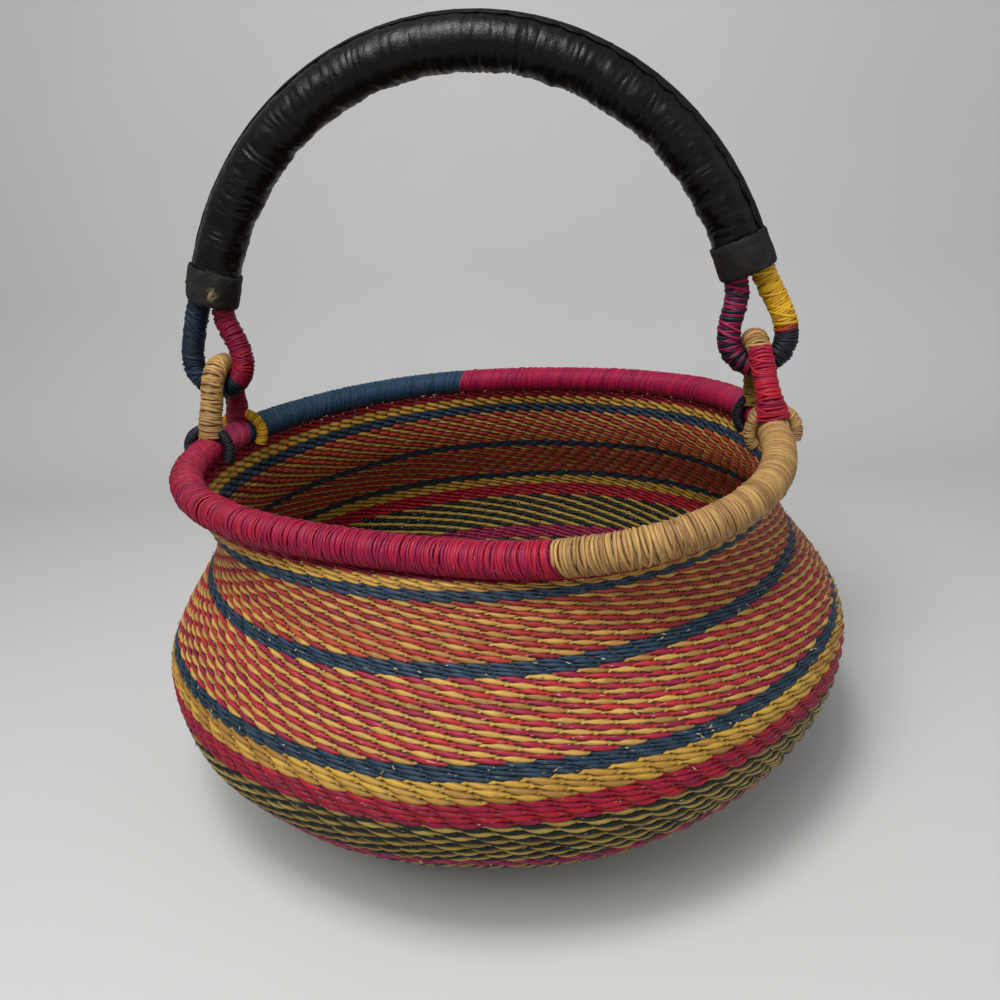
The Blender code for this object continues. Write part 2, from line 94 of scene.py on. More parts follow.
forward = Vector((
    math.sin(EYE_TURN) * math.cos(EYE_HEIGHT),
    math.cos(EYE_TURN) * math.cos(EYE_HEIGHT),
    -math.sin(EYE_HEIGHT),
))
level_right = forward.cross(UP).normalized()
level_up = level_right.cross(forward)
view_right = level_right * math.cos(EYE_TILT) + level_up * math.sin(EYE_TILT)
view_up = level_up * math.cos(EYE_TILT) - level_right * math.sin(EYE_TILT)

camera = bpy.data.objects.new("camera", bpy.data.cameras.new("camera"))
bpy.context.scene.collection.objects.link(camera)
camera.data.lens = LENS
camera.data.sensor_width = 36
camera.data.clip_start = 0.01
camera.matrix_world = (
    Matrix.Translation(LOOK_AT - forward * EYE_DISTANCE)
    @ Matrix((view_right, view_up, -forward)).transposed().to_4x4()
)
bpy.context.scene.camera = camera
print("camera at", [round(v, 3) for v in camera.location])

# %% [markdown]
# ## Dyed straw
#
# Straw has fine ribs along its length and takes dye unevenly. The strands carry four attributes. "dye"
# picks one of two colours, "shade" is how dark that bit of straw is, and on the inside of the wall it is
# raised as a painted light. The fourth is a painted shade, which darkens the straw where it dives under a
# neighbour or meets the next row or turn. "fibre" is a coordinate that runs along the strand, so the
# streaks follow every bend. An image texture would slide and blur here, but noise on "fibre" stays sharp
# at any size.

# %% Dyed straw
def dye(code):
    """Blender's linear colour for a colour written as on a paint chart, such as C9A03E."""
    parts = [int(code[place:place + 2], 16) / 255 for place in (0, 2, 4)]
    return (*[((part + 0.055) / 1.055) ** 2.4 if part > 0.04045 else part / 12.92
              for part in parts], 1)


def wire(finish, kind, inputs=(), **settings):
    """Add a shader node, set its fields, and join or fill its inputs."""
    node = finish.node_tree.nodes.new(kind)
    for field, value in settings.items():
        setattr(node, field, value)
    for name, value in dict(inputs).items():
        if isinstance(value, bpy.types.NodeSocket):
            finish.node_tree.links.new(value, node.inputs[name])
        else:
            node.inputs[name].default_value = value
    return node


def new_finish(name, roughness):
    finish = bpy.data.materials.new(name)
    finish.use_nodes = True
    shader = finish.node_tree.nodes["Principled BSDF"]
    shader.inputs["Roughness"].default_value = roughness
    return finish, shader


def straw_finish(name, first, second=None, roughness=0.5, flecks=0.6, bareness=0.63):
    """Straw in one or two dyes, with streaks along the strand, a few pale flecks, and painted shade where
    the strand dives under or meets its neighbours.
    """
    finish, shader = new_finish(name, roughness)
    fibre = wire(finish, "ShaderNodeAttribute", attribute_name="fibre").outputs["Vector"]
    picks = wire(finish, "ShaderNodeAttribute", attribute_name="dye").outputs["Fac"]
    shade = wire(finish, "ShaderNodeAttribute", attribute_name="shade").outputs["Fac"]
    colour = wire(finish, "ShaderNodeMix", {
        "Factor": picks, "A": dye(first), "B": dye(second or first),
    }, data_type="RGBA").outputs["Result"]
    along = wire(finish, "ShaderNodeMapping", {"Vector": fibre, "Scale": (0.22, 2.2, 2.2)})
    streaks = wire(finish, "ShaderNodeTexNoise", {
        "Vector": along.outputs["Vector"], "Scale": 1, "Detail": 3, "Roughness": 0.65,
    }).outputs["Fac"]
    # The shade attribute sets the straw's value and a slight hue: a random tone, which on the inside of
    # the wall also carries a painted light.
    depth = wire(finish, "ShaderNodeMapRange", {
        "Value": shade, "To Min": 0.62, "To Max": 1.12,
    }).outputs["Result"]
    grain = wire(finish, "ShaderNodeMapRange", {
        "Value": streaks, "From Min": 0.3, "From Max": 0.7, "To Min": 0.72, "To Max": 1.18,
    }).outputs["Result"]
    # Painted shade: the straw is darkened, down to 0.28 of its value, where it dives under a neighbour or
    # meets the next row or turn.
    painted_shade = wire(finish, "ShaderNodeAttribute", attribute_name="painted_shade").outputs["Fac"]
    crease = wire(finish, "ShaderNodeMapRange", {
        "Value": painted_shade, "From Min": 0.45, "To Min": 1, "To Max": 0.28,
    }).outputs["Result"]
    lit = wire(finish, "ShaderNodeMath", {0: depth, 1: crease}, operation="MULTIPLY")
    value = wire(finish, "ShaderNodeMath", {
        0: lit.outputs["Value"], 1: grain,
    }, operation="MULTIPLY")
    hue = wire(finish, "ShaderNodeMapRange", {
        "Value": shade, "To Min": 0.49, "To Max": 0.508,
    }).outputs["Result"]
    dyed = wire(finish, "ShaderNodeHueSaturation", {
        "Color": colour, "Value": value.outputs["Value"], "Hue": hue,
    }).outputs["Color"]
    spots = wire(finish, "ShaderNodeMapping", {"Vector": fibre, "Scale": (0.16, 0.9, 0.9)})
    bare = wire(finish, "ShaderNodeTexNoise", {
        "Vector": spots.outputs["Vector"], "Scale": 1.3, "Detail": 4, "Roughness": 0.7,
    }).outputs["Fac"]
    pale = wire(finish, "ShaderNodeMapRange", {
        "Value": bare, "From Min": bareness, "From Max": bareness + 0.08, "To Max": flecks,
    }).outputs["Result"]
    worn = wire(finish, "ShaderNodeMix", {
        "Factor": pale, "A": dyed, "B": dye("D8C9A8"),
    }, data_type="RGBA").outputs["Result"]
    bump = wire(finish, "ShaderNodeBump", {
        "Height": streaks, "Strength": 0.6, "Distance": 0.25 * MM,
    })
    links = finish.node_tree.links
    links.new(worn, shader.inputs["Base Color"])
    links.new(bump.outputs["Normal"], shader.inputs["Normal"])
    shader.inputs["Specular IOR Level"].default_value = 0.25
    return finish


BLUE, STRAW, MAGENTA, TAN = "21384A", "C69745", "A01139", "AE8650"
NIGHT, OLIVE = "121D1A", "A3863E"

# %% [markdown]
# ## Long strands as curves
#
# Everything made of straw here is a long strand on a winding route. A curve with a bevel
# object sweeps a small section along that route, and a tilt at each point turns the
# section so that it lies flat in the wall. The curve then becomes a mesh, because only a
# mesh can carry the attributes that the straw finish reads. The section runs clockwise,
# which makes the swept faces point outwards.

# %% Sections and swept strands
PRESSED, SHINGLE = 0.6, 0.22


def section(name, half_width, half_height, sides=6):
    """A small oval that is swept along a strand. It is removed when all is built."""
    outline = bpy.data.curves.new(name, "CURVE")
    outline.dimensions = "2D"
    spline = outline.splines.new("POLY")
    spline.points.add(sides - 1)
    for index, point in enumerate(spline.points):
        turn = -index / sides * FULL_TURN
        point.co = (half_width * math.cos(turn), half_height * math.sin(turn), 0, 1)
    spline.use_cyclic_u = True
    oval = bpy.data.objects.new(name, outline)
    bpy.context.scene.collection.objects.link(oval)
    return oval


def strand(points, shade, dyes=0, tilt=0, swell=1, painted_shade=0, closed=False, out=0, along=0):
    """The facts of one strand: its points, and a value at each for the rest."""
    names = ("shade", "dyes", "tilt", "swell", "painted_shade")
    values = (shade, dyes, tilt, swell, painted_shade)
    one = {name: np.broadcast_to(np.asarray(value, float), len(points))
           for name, value in zip(names, values)}
    ways = {name: np.broadcast_to(np.asarray(value, float), (len(points), 3))
            for name, value in (("out", out), ("along", along))}
    return {"points": points, "closed": closed, **one, **ways}


def swept_mesh(name, strands, oval, twist):
    """Sweep the oval along every strand, as one mesh with the straw attributes."""
    curve = bpy.data.curves.new(name, "CURVE")
    curve.dimensions, curve.twist_mode = "3D", twist
    curve.bevel_mode, curve.bevel_object = "OBJECT", oval
    for one in strands:
        spline = curve.splines.new("POLY")
        spline.points.add(len(one["points"]) - 1)
        spline.points.foreach_set("co", np.c_[one["points"], np.ones(len(one["points"]))].ravel())
        spline.points.foreach_set("tilt", one["tilt"])
        spline.points.foreach_set("radius", one["swell"])
        spline.use_cyclic_u = one["closed"]
        spline.use_smooth = True
    swept = bpy.data.objects.new(name, curve)
    bpy.context.scene.collection.objects.link(swept)
    depsgraph = bpy.context.evaluated_depsgraph_get()
    mesh = bpy.data.meshes.new_from_object(swept.evaluated_get(depsgraph))
    bpy.data.objects.remove(swept)
    mesh.name = name
    return mesh


def oval_ring(oval):
    return np.array([point.co[:2] for point in oval.data.splines[0].points])


def press_flat(mesh, strands, oval):
    """Press a round thread flat on what it is wound on, each turn a little over the last. Return a
    painted shade for each point, darker towards both sides of a turn, where it meets the next turn.
    """
    sides = len(oval_ring(oval))
    co = np.zeros(len(mesh.vertices) * 3)
    mesh.vertices.foreach_get("co", co)
    co = co.reshape(-1, sides, 3)
    out = np.concatenate([one["out"] for one in strands])[:, None, :]
    along = np.concatenate([one["along"] for one in strands])[:, None, :]
    offset = co - co.mean(axis=1, keepdims=True)
    lift = (offset * out).sum(axis=2, keepdims=True)
    beside = (offset * along).sum(axis=2, keepdims=True)
    co = co + ((PRESSED - 1) * lift + SHINGLE * beside) * out
    mesh.vertices.foreach_set("co", co.ravel())
    # Painted shade: darker towards both sides of each turn, where the turns meet.
    return 0.95 * np.abs(beside).ravel() / np.abs(oval_ring(oval)).max()


def mark_straw(mesh, strands, oval, edge):
    """Write shade, dye, painted shade and fibre on the mesh, whose points run section by section. The
    edge values add painted shade at the sides of each strand or turn.
    """
    ring = oval_ring(oval) / MM
    sides = len(ring)
    fibre, start = [], 0
    for one in strands:
        steps = np.linalg.norm(np.diff(one["points"], axis=0), axis=1) / MM
        run = start + np.concatenate([[0], np.cumsum(steps)])
        start = run[-1] + 100
        fibre.append(np.c_[np.repeat(run, sides), np.tile(ring, (len(run), 1))])
    fibre = np.concatenate(fibre)
    for attribute, key in (("shade", "shade"), ("dye", "dyes"), ("painted_shade", "painted_shade")):
        values = np.repeat(np.concatenate([one[key] for one in strands]), sides)
        if key == "painted_shade":
            values = np.clip(values + edge, 0, 1)
        mesh.attributes.new(attribute, "FLOAT", "POINT").data.foreach_set(
            "value", values.astype(np.float32))
    mesh.attributes.new("fibre", "FLOAT_VECTOR", "POINT").data.foreach_set(
        "vector", fibre.astype(np.float32).ravel())


def close_ends(mesh):
    """Fill the open ends of the strands."""
    bm = bmesh.new()
    bm.from_mesh(mesh)
    ends = [edge for edge in bm.edges if edge.is_boundary]
    if ends:
        bmesh.ops.holes_fill(bm, edges=ends, sides=0)
    bm.to_mesh(mesh)
    bm.free()


def strand_piece(name, strands, oval, finish, body, nodes=(), twist="MINIMUM"):
    """A finished piece of many strands that rides on a body and stands for CAD nodes."""
    mesh = swept_mesh(name, strands, oval, twist)
    if np.any(strands[0]["out"]):
        edge = press_flat(mesh, strands, oval)
    else:
        # Painted shade: without a pressed thread, each strand is darker towards the top and bottom of its
        # section, where it meets the rows beside it.
        height = np.abs(oval_ring(oval)[:, 1])
        edge = np.tile(height / height.max(), sum(len(one["points"]) for one in strands)) * 0.9
    mark_straw(mesh, strands, oval, edge)
    close_ends(mesh)
    for layer in list(mesh.uv_layers):
        mesh.uv_layers.remove(layer)
    mesh.materials.clear()
    mesh.materials.append(finish)
    piece = bpy.data.objects.new(name, mesh)
    bpy.context.scene.collection.objects.link(piece)
    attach(piece, body)
    if nodes:
        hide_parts(*nodes)
    print(f"{name}: {len(strands)} strands, {sum(len(p.vertices) - 2 for p in mesh.polygons)} triangles")
    return piece


def patches(count, least, most):
    """Random shades from 0 to 1, each held for a few points, as a strand changes straws."""
    shades = []
    while len(shades) < count:
        shades += [chance.uniform()] * int(chance.integers(least, most + 1))
    return np.array(shades[:count])


# %% [markdown]
# ## The bowl's outline
#
# The bowl is round from its base to its belly, and only the hand-made mouth is stretched,
# squared and tilted. These are the sizes that the CAD model was built from. A table of
# radius and height along the wall is enough: numpy reads any point of it in one call.

# %% The bowl's outline
BASE_CENTRE_RADIUS, BASE_RADIUS, BELLY_RADIUS, NECK_RADIUS = 44 * MM, 74 * MM, 196 * MM, 158 * MM
BELLY_HEIGHT, NECK_HEIGHT, WALL_HEIGHT, WALL = 81 * MM, 160 * MM, 176 * MM, 4.5 * MM
MOUTH_STRETCH, MOUTH_SQUARE, MOUTH_TURN = 7 * MM, 6 * MM, 9 * DEGREE
MOUTH_LOBE, LOBE_TURN, MOUTH_FORWARD = 4.5 * MM, 16 * DEGREE, 3 * MM
MOUTH_LIFT, MOUTH_TILT, MOUTH_LEAN, MOUTH_DIP, MOUTH_POWER = 4 * MM, 2 * MM, 5 * MM, 2 * MM, 8
FIT_GAP = 0.3 * MM

lower = np.linspace(0, math.pi / 2, 201)
upper = np.linspace(BELLY_HEIGHT, WALL_HEIGHT, 201)[1:]
draw_in = (1 - np.cos(math.pi * np.clip((upper - BELLY_HEIGHT) / (NECK_HEIGHT - BELLY_HEIGHT), 0, 1))) / 2
OUTLINE_RADIUS = np.concatenate([
    np.linspace(0, BASE_RADIUS, 60)[:-1],
    BASE_RADIUS + (BELLY_RADIUS - BASE_RADIUS) * np.sin(lower),
    BELLY_RADIUS - (BELLY_RADIUS - NECK_RADIUS) * draw_in,
])
OUTLINE_HEIGHT = np.concatenate([np.zeros(59), BELLY_HEIGHT * (1 - np.cos(lower)), upper])
OUTLINE_RUN = np.concatenate([
    [0], np.cumsum(np.hypot(np.diff(OUTLINE_RADIUS), np.diff(OUTLINE_HEIGHT))),
])
WALL_RUN = OUTLINE_RUN[-1]
OUTLINE_LEAN = np.unwrap(np.arctan2(
    np.gradient(OUTLINE_RADIUS, OUTLINE_RUN), np.gradient(OUTLINE_HEIGHT, OUTLINE_RUN)))


def wall_section(run, depth):
    """Radius, height and lean of the wall at a run along it, a depth under its surface."""
    lean = np.interp(run, OUTLINE_RUN, OUTLINE_LEAN)
    radius = np.interp(run, OUTLINE_RUN, OUTLINE_RADIUS) - depth * np.cos(lean)
    height = np.interp(run, OUTLINE_RUN, OUTLINE_HEIGHT) + depth * np.sin(lean)
    return radius, height, lean


def woven(radius, height, angle):
    """Place points of the round bowl on the real one, whose mouth isn't round or level."""
    climb = (height - BELLY_HEIGHT) / (WALL_HEIGHT - BELLY_HEIGHT)
    share = np.clip(climb, 0, 1) ** MOUTH_POWER
    swell = (
        MOUTH_STRETCH * np.cos(2 * (angle + MOUTH_TURN))
        - MOUTH_SQUARE * np.cos(4 * (angle + MOUTH_TURN))
        - MOUTH_LOBE * np.cos(3 * (angle - LOBE_TURN))
    )
    lift = (
        MOUTH_LIFT * np.cos(2 * angle) - MOUTH_TILT * np.cos(angle)
        + MOUTH_LEAN * np.sin(angle) - MOUTH_DIP * np.sin(3 * angle)
    )
    return np.stack([
        (radius + share * swell) * np.cos(angle),
        (radius + share * swell) * np.sin(angle) - share * MOUTH_FORWARD,
        height + share * lift,
    ], axis=-1)


print("the wall measures", round(WALL_RUN / MM), "mm from the middle of the base to the rim")

# %% [markdown]
# ## Twining the wall
#
# In each row two strands pass in front of one stake and behind the next, and they twist
# half a turn between stakes. So a strand is a wave: a cosine takes it out and in, and a
# sine takes it up and down, which gives the slanted lens shape of a stitch. The next row
# starts one stake on, and that is what draws the long diagonals of colour. A bump map
# could fake this, but real strands also give the scalloped edges and the inside.

# %% Twined rows
STAKES = 100
STITCH_POINTS = 4
STRAND_SWING, STRAND_RISE = 0.9 * MM, 1.15 * MM
STITCH_OVAL = section("stitch_oval", 1.3 * MM, 1.55 * MM)
ROW_TWIST = 0.22
ROW = 2.6 * MM


def uneven(angle, run):
    """Small smooth unevenness of a hand-made wall: along the wall, and out of it."""
    slip = 0.5 * np.sin(3 * angle + 9 * run / WALL_RUN) + 0.35 * np.sin(7 * angle + 23 * run / WALL_RUN)
    dent = 0.7 * np.sin(5 * angle + 12 * run / WALL_RUN) + 0.4 * np.sin(11 * angle - 17 * run / WALL_RUN)
    calm = np.sqrt(np.sin(math.pi * np.clip(run / WALL_RUN - 0.3, 0, 0.7) / 0.7))
    return slip * calm * MM, dent * calm * MM


def by_stake(place, stakes, least, most):
    """A chance value at each stake of a row, joined evenly from stake to stake."""
    knots = chance.uniform(least, most, stakes)
    return np.interp(place, np.arange(stakes + 1), np.append(knots, knots[0]))


row_runs, row_twists = [], []


def twined_row(run, height, stakes, row, thin_inside=0):
    """The two strands of one row, half the row's height on either side of its run."""
    twist = (row_twists[-1] if row_twists else 0) + ROW_TWIST * FULL_TURN / stakes
    row_runs.append(run)
    row_twists.append(twist)
    count = stakes * STITCH_POINTS
    place = np.arange(count) / STITCH_POINTS
    angle = twist + (place + by_stake(place, stakes, -0.1, 0.1)) * FULL_TURN / stakes
    slip, dent = uneven(angle, run)
    phase = math.pi * (place + row)
    radius, level, lean = wall_section(run + slip, WALL / 2 - dent)
    above = woven(radius + height * np.sin(lean), level + height * np.cos(lean), angle)
    scale = np.linalg.norm(above - woven(radius, level, angle), axis=1) / ROW
    pair = []
    for side in (1, -1):
        plump = by_stake(place, stakes, 0.9, 1.1)
        nudge = by_stake(place, stakes, -0.18, 0.18) * MM
        slant = by_stake(place, stakes, 0.85, 1.08)
        out = side * STRAND_SWING * np.sign(np.cos(phase)) * np.abs(np.cos(phase)) ** 0.8
        ramp = np.arcsin(np.sin(phase)) / (math.pi / 2)
        rise = nudge - side * STRAND_RISE * slant * height / ROW * ramp
        points = woven(
            radius + out * np.cos(lean) + rise * np.sin(lean),
            level - out * np.sin(lean) + rise * np.cos(lean), angle,
        )
        # Random shade held for a few stitches. Where the strand lies on the inside of the wall the shade
        # is raised by 0.45, a painted light that brightens the inside of the bowl.
        shade = patches(count, 3 * STITCH_POINTS, 9 * STITCH_POINTS) + 0.45 * (out < 0)
        plump = plump * (1 + side * thin_inside * np.clip(-out / STRAND_SWING, 0, 1))
        # The strand's last value is a painted shade, darkest where the two strands cross between stakes.
        pair.append(strand(
            points, np.clip(shade, 0, 1), (1 - side) / 2, lean,
            (0.64 + 0.36 * np.abs(np.cos(phase)) ** 0.9) * plump * scale,
            0.5 * np.clip(1 - 1.4 * np.abs(np.cos(phase)), 0, 1), closed=True,
        ))
    return pair


# %% [markdown]
# ## Colour courses of the wall
#
# The bands have uneven row counts and row heights, as they were counted on the real wall.
# Two-colour zones use one dye for each strand of the row, and bands use the same dye for
# both. Each course replaces the plain ring that holds its place in the CAD model.

# %% Colour courses of the wall
COURSES = (
    ("red_rows", 2, 0.83, "crimson_straw", "A01836", "8A122E"),
    ("yellow_rows", 2, 1.04, "yellow_straw", STRAW, "BC8A3A"),
    ("navy_rows", 2, 1.13, "blue_straw", "24384C", "2B4054"),
    ("mixed_zone_upper", 10, 1, "mixed_straw", "A02E29", "B68745"),
    ("blue_band_upper", 3, 0.8, "blue_straw", BLUE, "263C50"),
    ("mixed_zone_lower", 13, 1.01, "mixed_straw", "A62638", "BA8F48"),
    ("blue_band_lower", 3, 0.84, "blue_straw", BLUE, "23394C"),
    ("yellow_band", 3, 1.15, "yellow_straw", "BC9038", "B28638"),
    ("red_band", 4, 1.07, "crimson_straw", "9C0C2E", "A01032"),
    ("dark_zone", 11, 0.98, "dark_straw", NIGHT, OLIVE),
    ("magenta_ring", 4, 1, "magenta_straw", "9A1A44", "8A1C50"),
)
top, row = WALL_RUN, 0
for course, rows, share, slot, first, second in COURSES:
    finish = straw_finish(course + "_straw", first, second)
    strands = []
    for _ in range(rows):
        strands += twined_row(top - share * ROW / 2, share * ROW, STAKES, row,
                              0.22 if course.startswith("mixed") else 0)
        top -= share * ROW
        row += 1
    strand_piece(course + "_weave", strands, STITCH_OVAL, finish, "basket", [course], "Z_UP")

# %% [markdown]
# ## The base
#
# Near the middle the stakes would crowd, so a real weaver starts with few and adds more as
# the disc grows. Here the count halves twice on the way in. The base is one dark and
# yellow zone, kept in three meshes so that none of them grows too heavy.

# %% The base
BASE_ROW = 2.85 * MM
base_straw = straw_finish("base_straw", NIGHT, OLIVE)
BASE_ZONES = (
    ("base_weave_outer", 152 * MM, STAKES, ["base_dark_zone"]),
    ("base_weave_middle", 112 * MM, STAKES, ["base_dark_zone"]),
    ("base_weave_inner", BASE_CENTRE_RADIUS, STAKES // 2, ["base_dark_zone"]),
    ("base_weave_centre", 5 * MM, STAKES // 4 + 1, ["base_centre"]),
)
for zone, lowest, stakes, nodes in BASE_ZONES:
    strands = []
    while top - BASE_ROW / 2 > lowest:
        strands += twined_row(top - BASE_ROW / 2, BASE_ROW, stakes, row)
        top -= BASE_ROW
        row += 1
    strand_piece(zone, strands, STITCH_OVAL, base_straw, "basket", nodes, "Z_UP")

# %% The start of the weave
KNOT_RADIUS, KNOT_TURNS = 6.5 * MM, 2.5
strands = []
for level in (0.3 * WALL, 0.7 * WALL):
    turn = np.linspace(0.06, 1, 60) * KNOT_TURNS * FULL_TURN
    reach = KNOT_RADIUS * turn / turn[-1]
    points = np.stack([reach * np.cos(turn), reach * np.sin(turn), np.full(60, level)], axis=-1)
    strands.append(strand(points, chance.uniform(), dyes=level > WALL / 2, swell=0.95))
strand_piece("base_knot", strands, STITCH_OVAL, base_straw, "basket", twist="Z_UP")

# %% [markdown]
# ## Stakes
#
# The stakes are the straws that every stitch goes round. They show only as dark ribs in the gaps,
# darkened further there by painted shade, and as pale ends under the rim, so a thin rod for each is
# enough.

# %% Stakes
STAKE_OVAL = section("stake_oval", 0.42 * MM, 0.42 * MM, sides=6)
stake_straw = straw_finish("stake_straw", "5A4C34", "5A4C34", flecks=0)
strands = []
for index in range(2 * STAKES):
    first_run = 20 * MM if index % 4 == 0 else 112 * MM
    runs = np.linspace(first_run, WALL_RUN, 48)
    angles = index / 2 * FULL_TURN / STAKES + np.interp(runs, row_runs[::-1], row_twists[::-1])
    slip, dent = uneven(angles, runs)
    radius, level, lean = wall_section(runs + slip, WALL / 2 - dent)
    # Painted shade darkens the stakes, which lie in the gaps between stitches.
    strands.append(strand(woven(radius, level, angles), chance.uniform(), painted_shade=0.5))
strand_piece("stakes", strands, STAKE_OVAL, stake_straw, "basket")

# %% [markdown]
# ## Cut ends
#
# Where a straw runs out, the weaver lays in the next one and trims the old end, so short
# pale stubs stand out of the wall, most of all in the blue bands and just under the rim.
# Each stub here is a tapered strand of three points, laid over the wall at a slant.

# %% Cut ends
STUB_OVAL = section("stub_oval", 0.32 * MM, 0.32 * MM, sides=5)
STUB_ZONES = (
    (4, 220, 170, 1), (41.5, 48, 60, 1), (48, 82, 70, 1), (82, 88.5, 80, 1),
    (4, 220, 110, -1), (0.4, 2.4, 60, -1), (0.4, 2.4, 20, 1),
)
strands = []
for first, last, count, face in STUB_ZONES:
    for _ in range(count):
        run = WALL_RUN - chance.uniform(first, last) * MM
        angle = chance.uniform(0, FULL_TURN)
        length, slant = chance.uniform(0.8, 2.2) * MM, chance.uniform(-0.6, 0.9)
        part = np.array([-0.5, 0, 0.5])
        angles = angle + part * length * math.cos(slant) / wall_section(run, 0)[0]
        slip, dent = uneven(angles, run)
        proud = (0.1 + 0.5 * (part + 0.5)) * MM
        depth = -proud if face > 0 else WALL + proud
        radius, level, _ = wall_section(run + slip - part * length * math.sin(slant), depth - dent)
        strands.append(strand(woven(radius, level, angles), chance.uniform(),
                              swell=np.array([0.5, 1, 0.7])))
stub_straw = straw_finish("stub_straw", "C9B88C", "C9B88C", flecks=0.2)
strand_piece("cut_ends", strands, STUB_OVAL, stub_straw, "basket")

# %% [markdown]
# ## The wrapped rim
#
# Straw is wound tightly round the hoop, and each turn leans a little as it crosses over
# the top. A helix whose turns are tilted gives that lean: the place along the rim swings
# back and forth once in each turn.

# %% The wrapped rim
RIM_RADIUS = 8.3 * MM
THREAD, RIM_PITCH, RIM_LEAN = 0.92 * MM, 1.38 * MM, 3 * MM
THREAD_OVAL = section("thread_oval", THREAD, THREAD)
THREAD_LIFT = (PRESSED + SHINGLE / 2) * THREAD
OVER = 0.25 * MM
RIM_TURN_POINTS = 16
rim_angles = np.linspace(0, 2 * FULL_TURN, 2881)
rim_reach, rim_level, rim_lean = wall_section(WALL_RUN, WALL / 2)
seat = RIM_RADIUS + FIT_GAP
RIM_ROUTE = woven(
    rim_reach + seat * math.sin(rim_lean), rim_level + seat * math.cos(rim_lean), rim_angles)


def lengths_along(route):
    return np.concatenate([[0], np.cumsum(np.linalg.norm(np.diff(route, axis=0), axis=1))])


def route_point(route, lengths, run):
    return np.stack([np.interp(run, lengths, route[:, axis]) for axis in range(3)], axis=-1)


def unit(vectors):
    return vectors / np.linalg.norm(vectors, axis=-1, keepdims=True)


def wander(turn, amount):
    """Slow chance drift over the turns of a thread, at most about an amount."""
    knots = np.arange(0, turn[-1] / FULL_TURN + 2)
    return amount * np.interp(turn / FULL_TURN, knots, chance.uniform(-1, 1, len(knots)))


def directions(route, lengths, run, side):
    """Unit directions at a run: along the route, and as near as can be to a side of it."""
    run = np.clip(run, 0.6 * MM, lengths[-1] - 0.6 * MM)
    heading = unit(
        route_point(route, lengths, run + 0.5 * MM) - route_point(route, lengths, run - 0.5 * MM))
    side = np.asarray(side, float)
    return heading, unit(side - heading * (heading @ side)[:, None])


def wound(route, side, first, last, coil, pitch, turn_points,
          lean=0, lean_turn=0, slack=0.5, flare=None, dyes=(0,)):
    """A thread wound round a route between two lengths of it, as one strand."""
    lengths = lengths_along(route)
    count = max(turn_points, int((last - first) / pitch * turn_points))
    turn = np.arange(count) / turn_points * FULL_TURN
    slant = lean + wander(turn, slack * pitch)
    run = (np.linspace(first, last, count) - slant * np.cos(turn - lean_turn)
           + wander(turn, 0.2 * pitch))
    run = np.clip(run, first - abs(lean), last + abs(lean))
    heading, side = directions(route, lengths, run, side)
    coil = coil + wander(turn, 0.08 * pitch)
    wide = coil if flare is None else coil + flare(run)
    arm = (coil * np.cos(turn))[:, None] * np.cross(heading, side) + (wide * np.sin(turn))[:, None] * side
    turns = (turn // FULL_TURN).astype(int)
    return strand(
        route_point(route, lengths, run) + arm, chance.uniform(0, 1, turns.max() + 1)[turns],
        np.asarray(dyes)[turns % len(dyes)], out=unit(arm), along=heading,
    )


def sleeve(route, first, last, radius, oval, dye_pick=0):
    """A plain strand as thick as the space inside the thread, so that no gap looks hollow. Its straw is
    darkened with painted shade, for the shade in the gaps between turns.
    """
    lengths = lengths_along(route)
    runs = np.linspace(first, last, max(8, int((last - first) / (3 * MM))))
    swell = radius / np.abs(oval_ring(oval)).max()
    return strand(route_point(route, lengths, runs), 0.3, dye_pick, swell=swell, painted_shade=0.5)


RIM_WRAPS = (
    ("rim_wrap_magenta_front", 186, 287, "magenta_straw", MAGENTA),
    ("rim_wrap_tan", 287, 364, "tan_straw", TAN),
    ("rim_wrap_magenta_back", 364, 464.5, "magenta_straw", "B4184A"),
    ("rim_wrap_blue", 464.5, 534, "blue_straw", "2A4A66"),
    ("rim_wrap_pink", 534, 546, "magenta_straw", "C83A62"),
)
rim_lengths = lengths_along(RIM_ROUTE)
for name, first, last, slot, colour in RIM_WRAPS:
    start, stop = np.interp(np.array([first, last]) * DEGREE, rim_angles, rim_lengths)
    thread = wound(RIM_ROUTE, UP, start, stop, RIM_RADIUS - THREAD_LIFT, RIM_PITCH,
                   RIM_TURN_POINTS, RIM_LEAN, math.pi / 4)
    crossing = wound(RIM_ROUTE, UP, start + 5 * MM, stop - 5 * MM, RIM_RADIUS - THREAD_LIFT + OVER,
                     3.1 * RIM_PITCH, RIM_TURN_POINTS, 0.6 * RIM_LEAN, math.pi / 4, slack=0.6)
    inside = sleeve(RIM_ROUTE, start, stop, RIM_RADIUS - THREAD_LIFT - 0.2 * MM, THREAD_OVAL)
    finish = straw_finish(name + "_straw", colour, flecks=0.3)
    strand_piece(name + "_thread", [thread, crossing, inside], THREAD_OVAL, finish, "basket",
                 [name])

# %% [markdown]
# ## Bails
#
# Each bail is a bundle bent into an arch across the rim and wound with thread. Its two
# feet are held by forks that straddle the rim. The route is the one the CAD model was
# built on: two eased legs and a round crown.

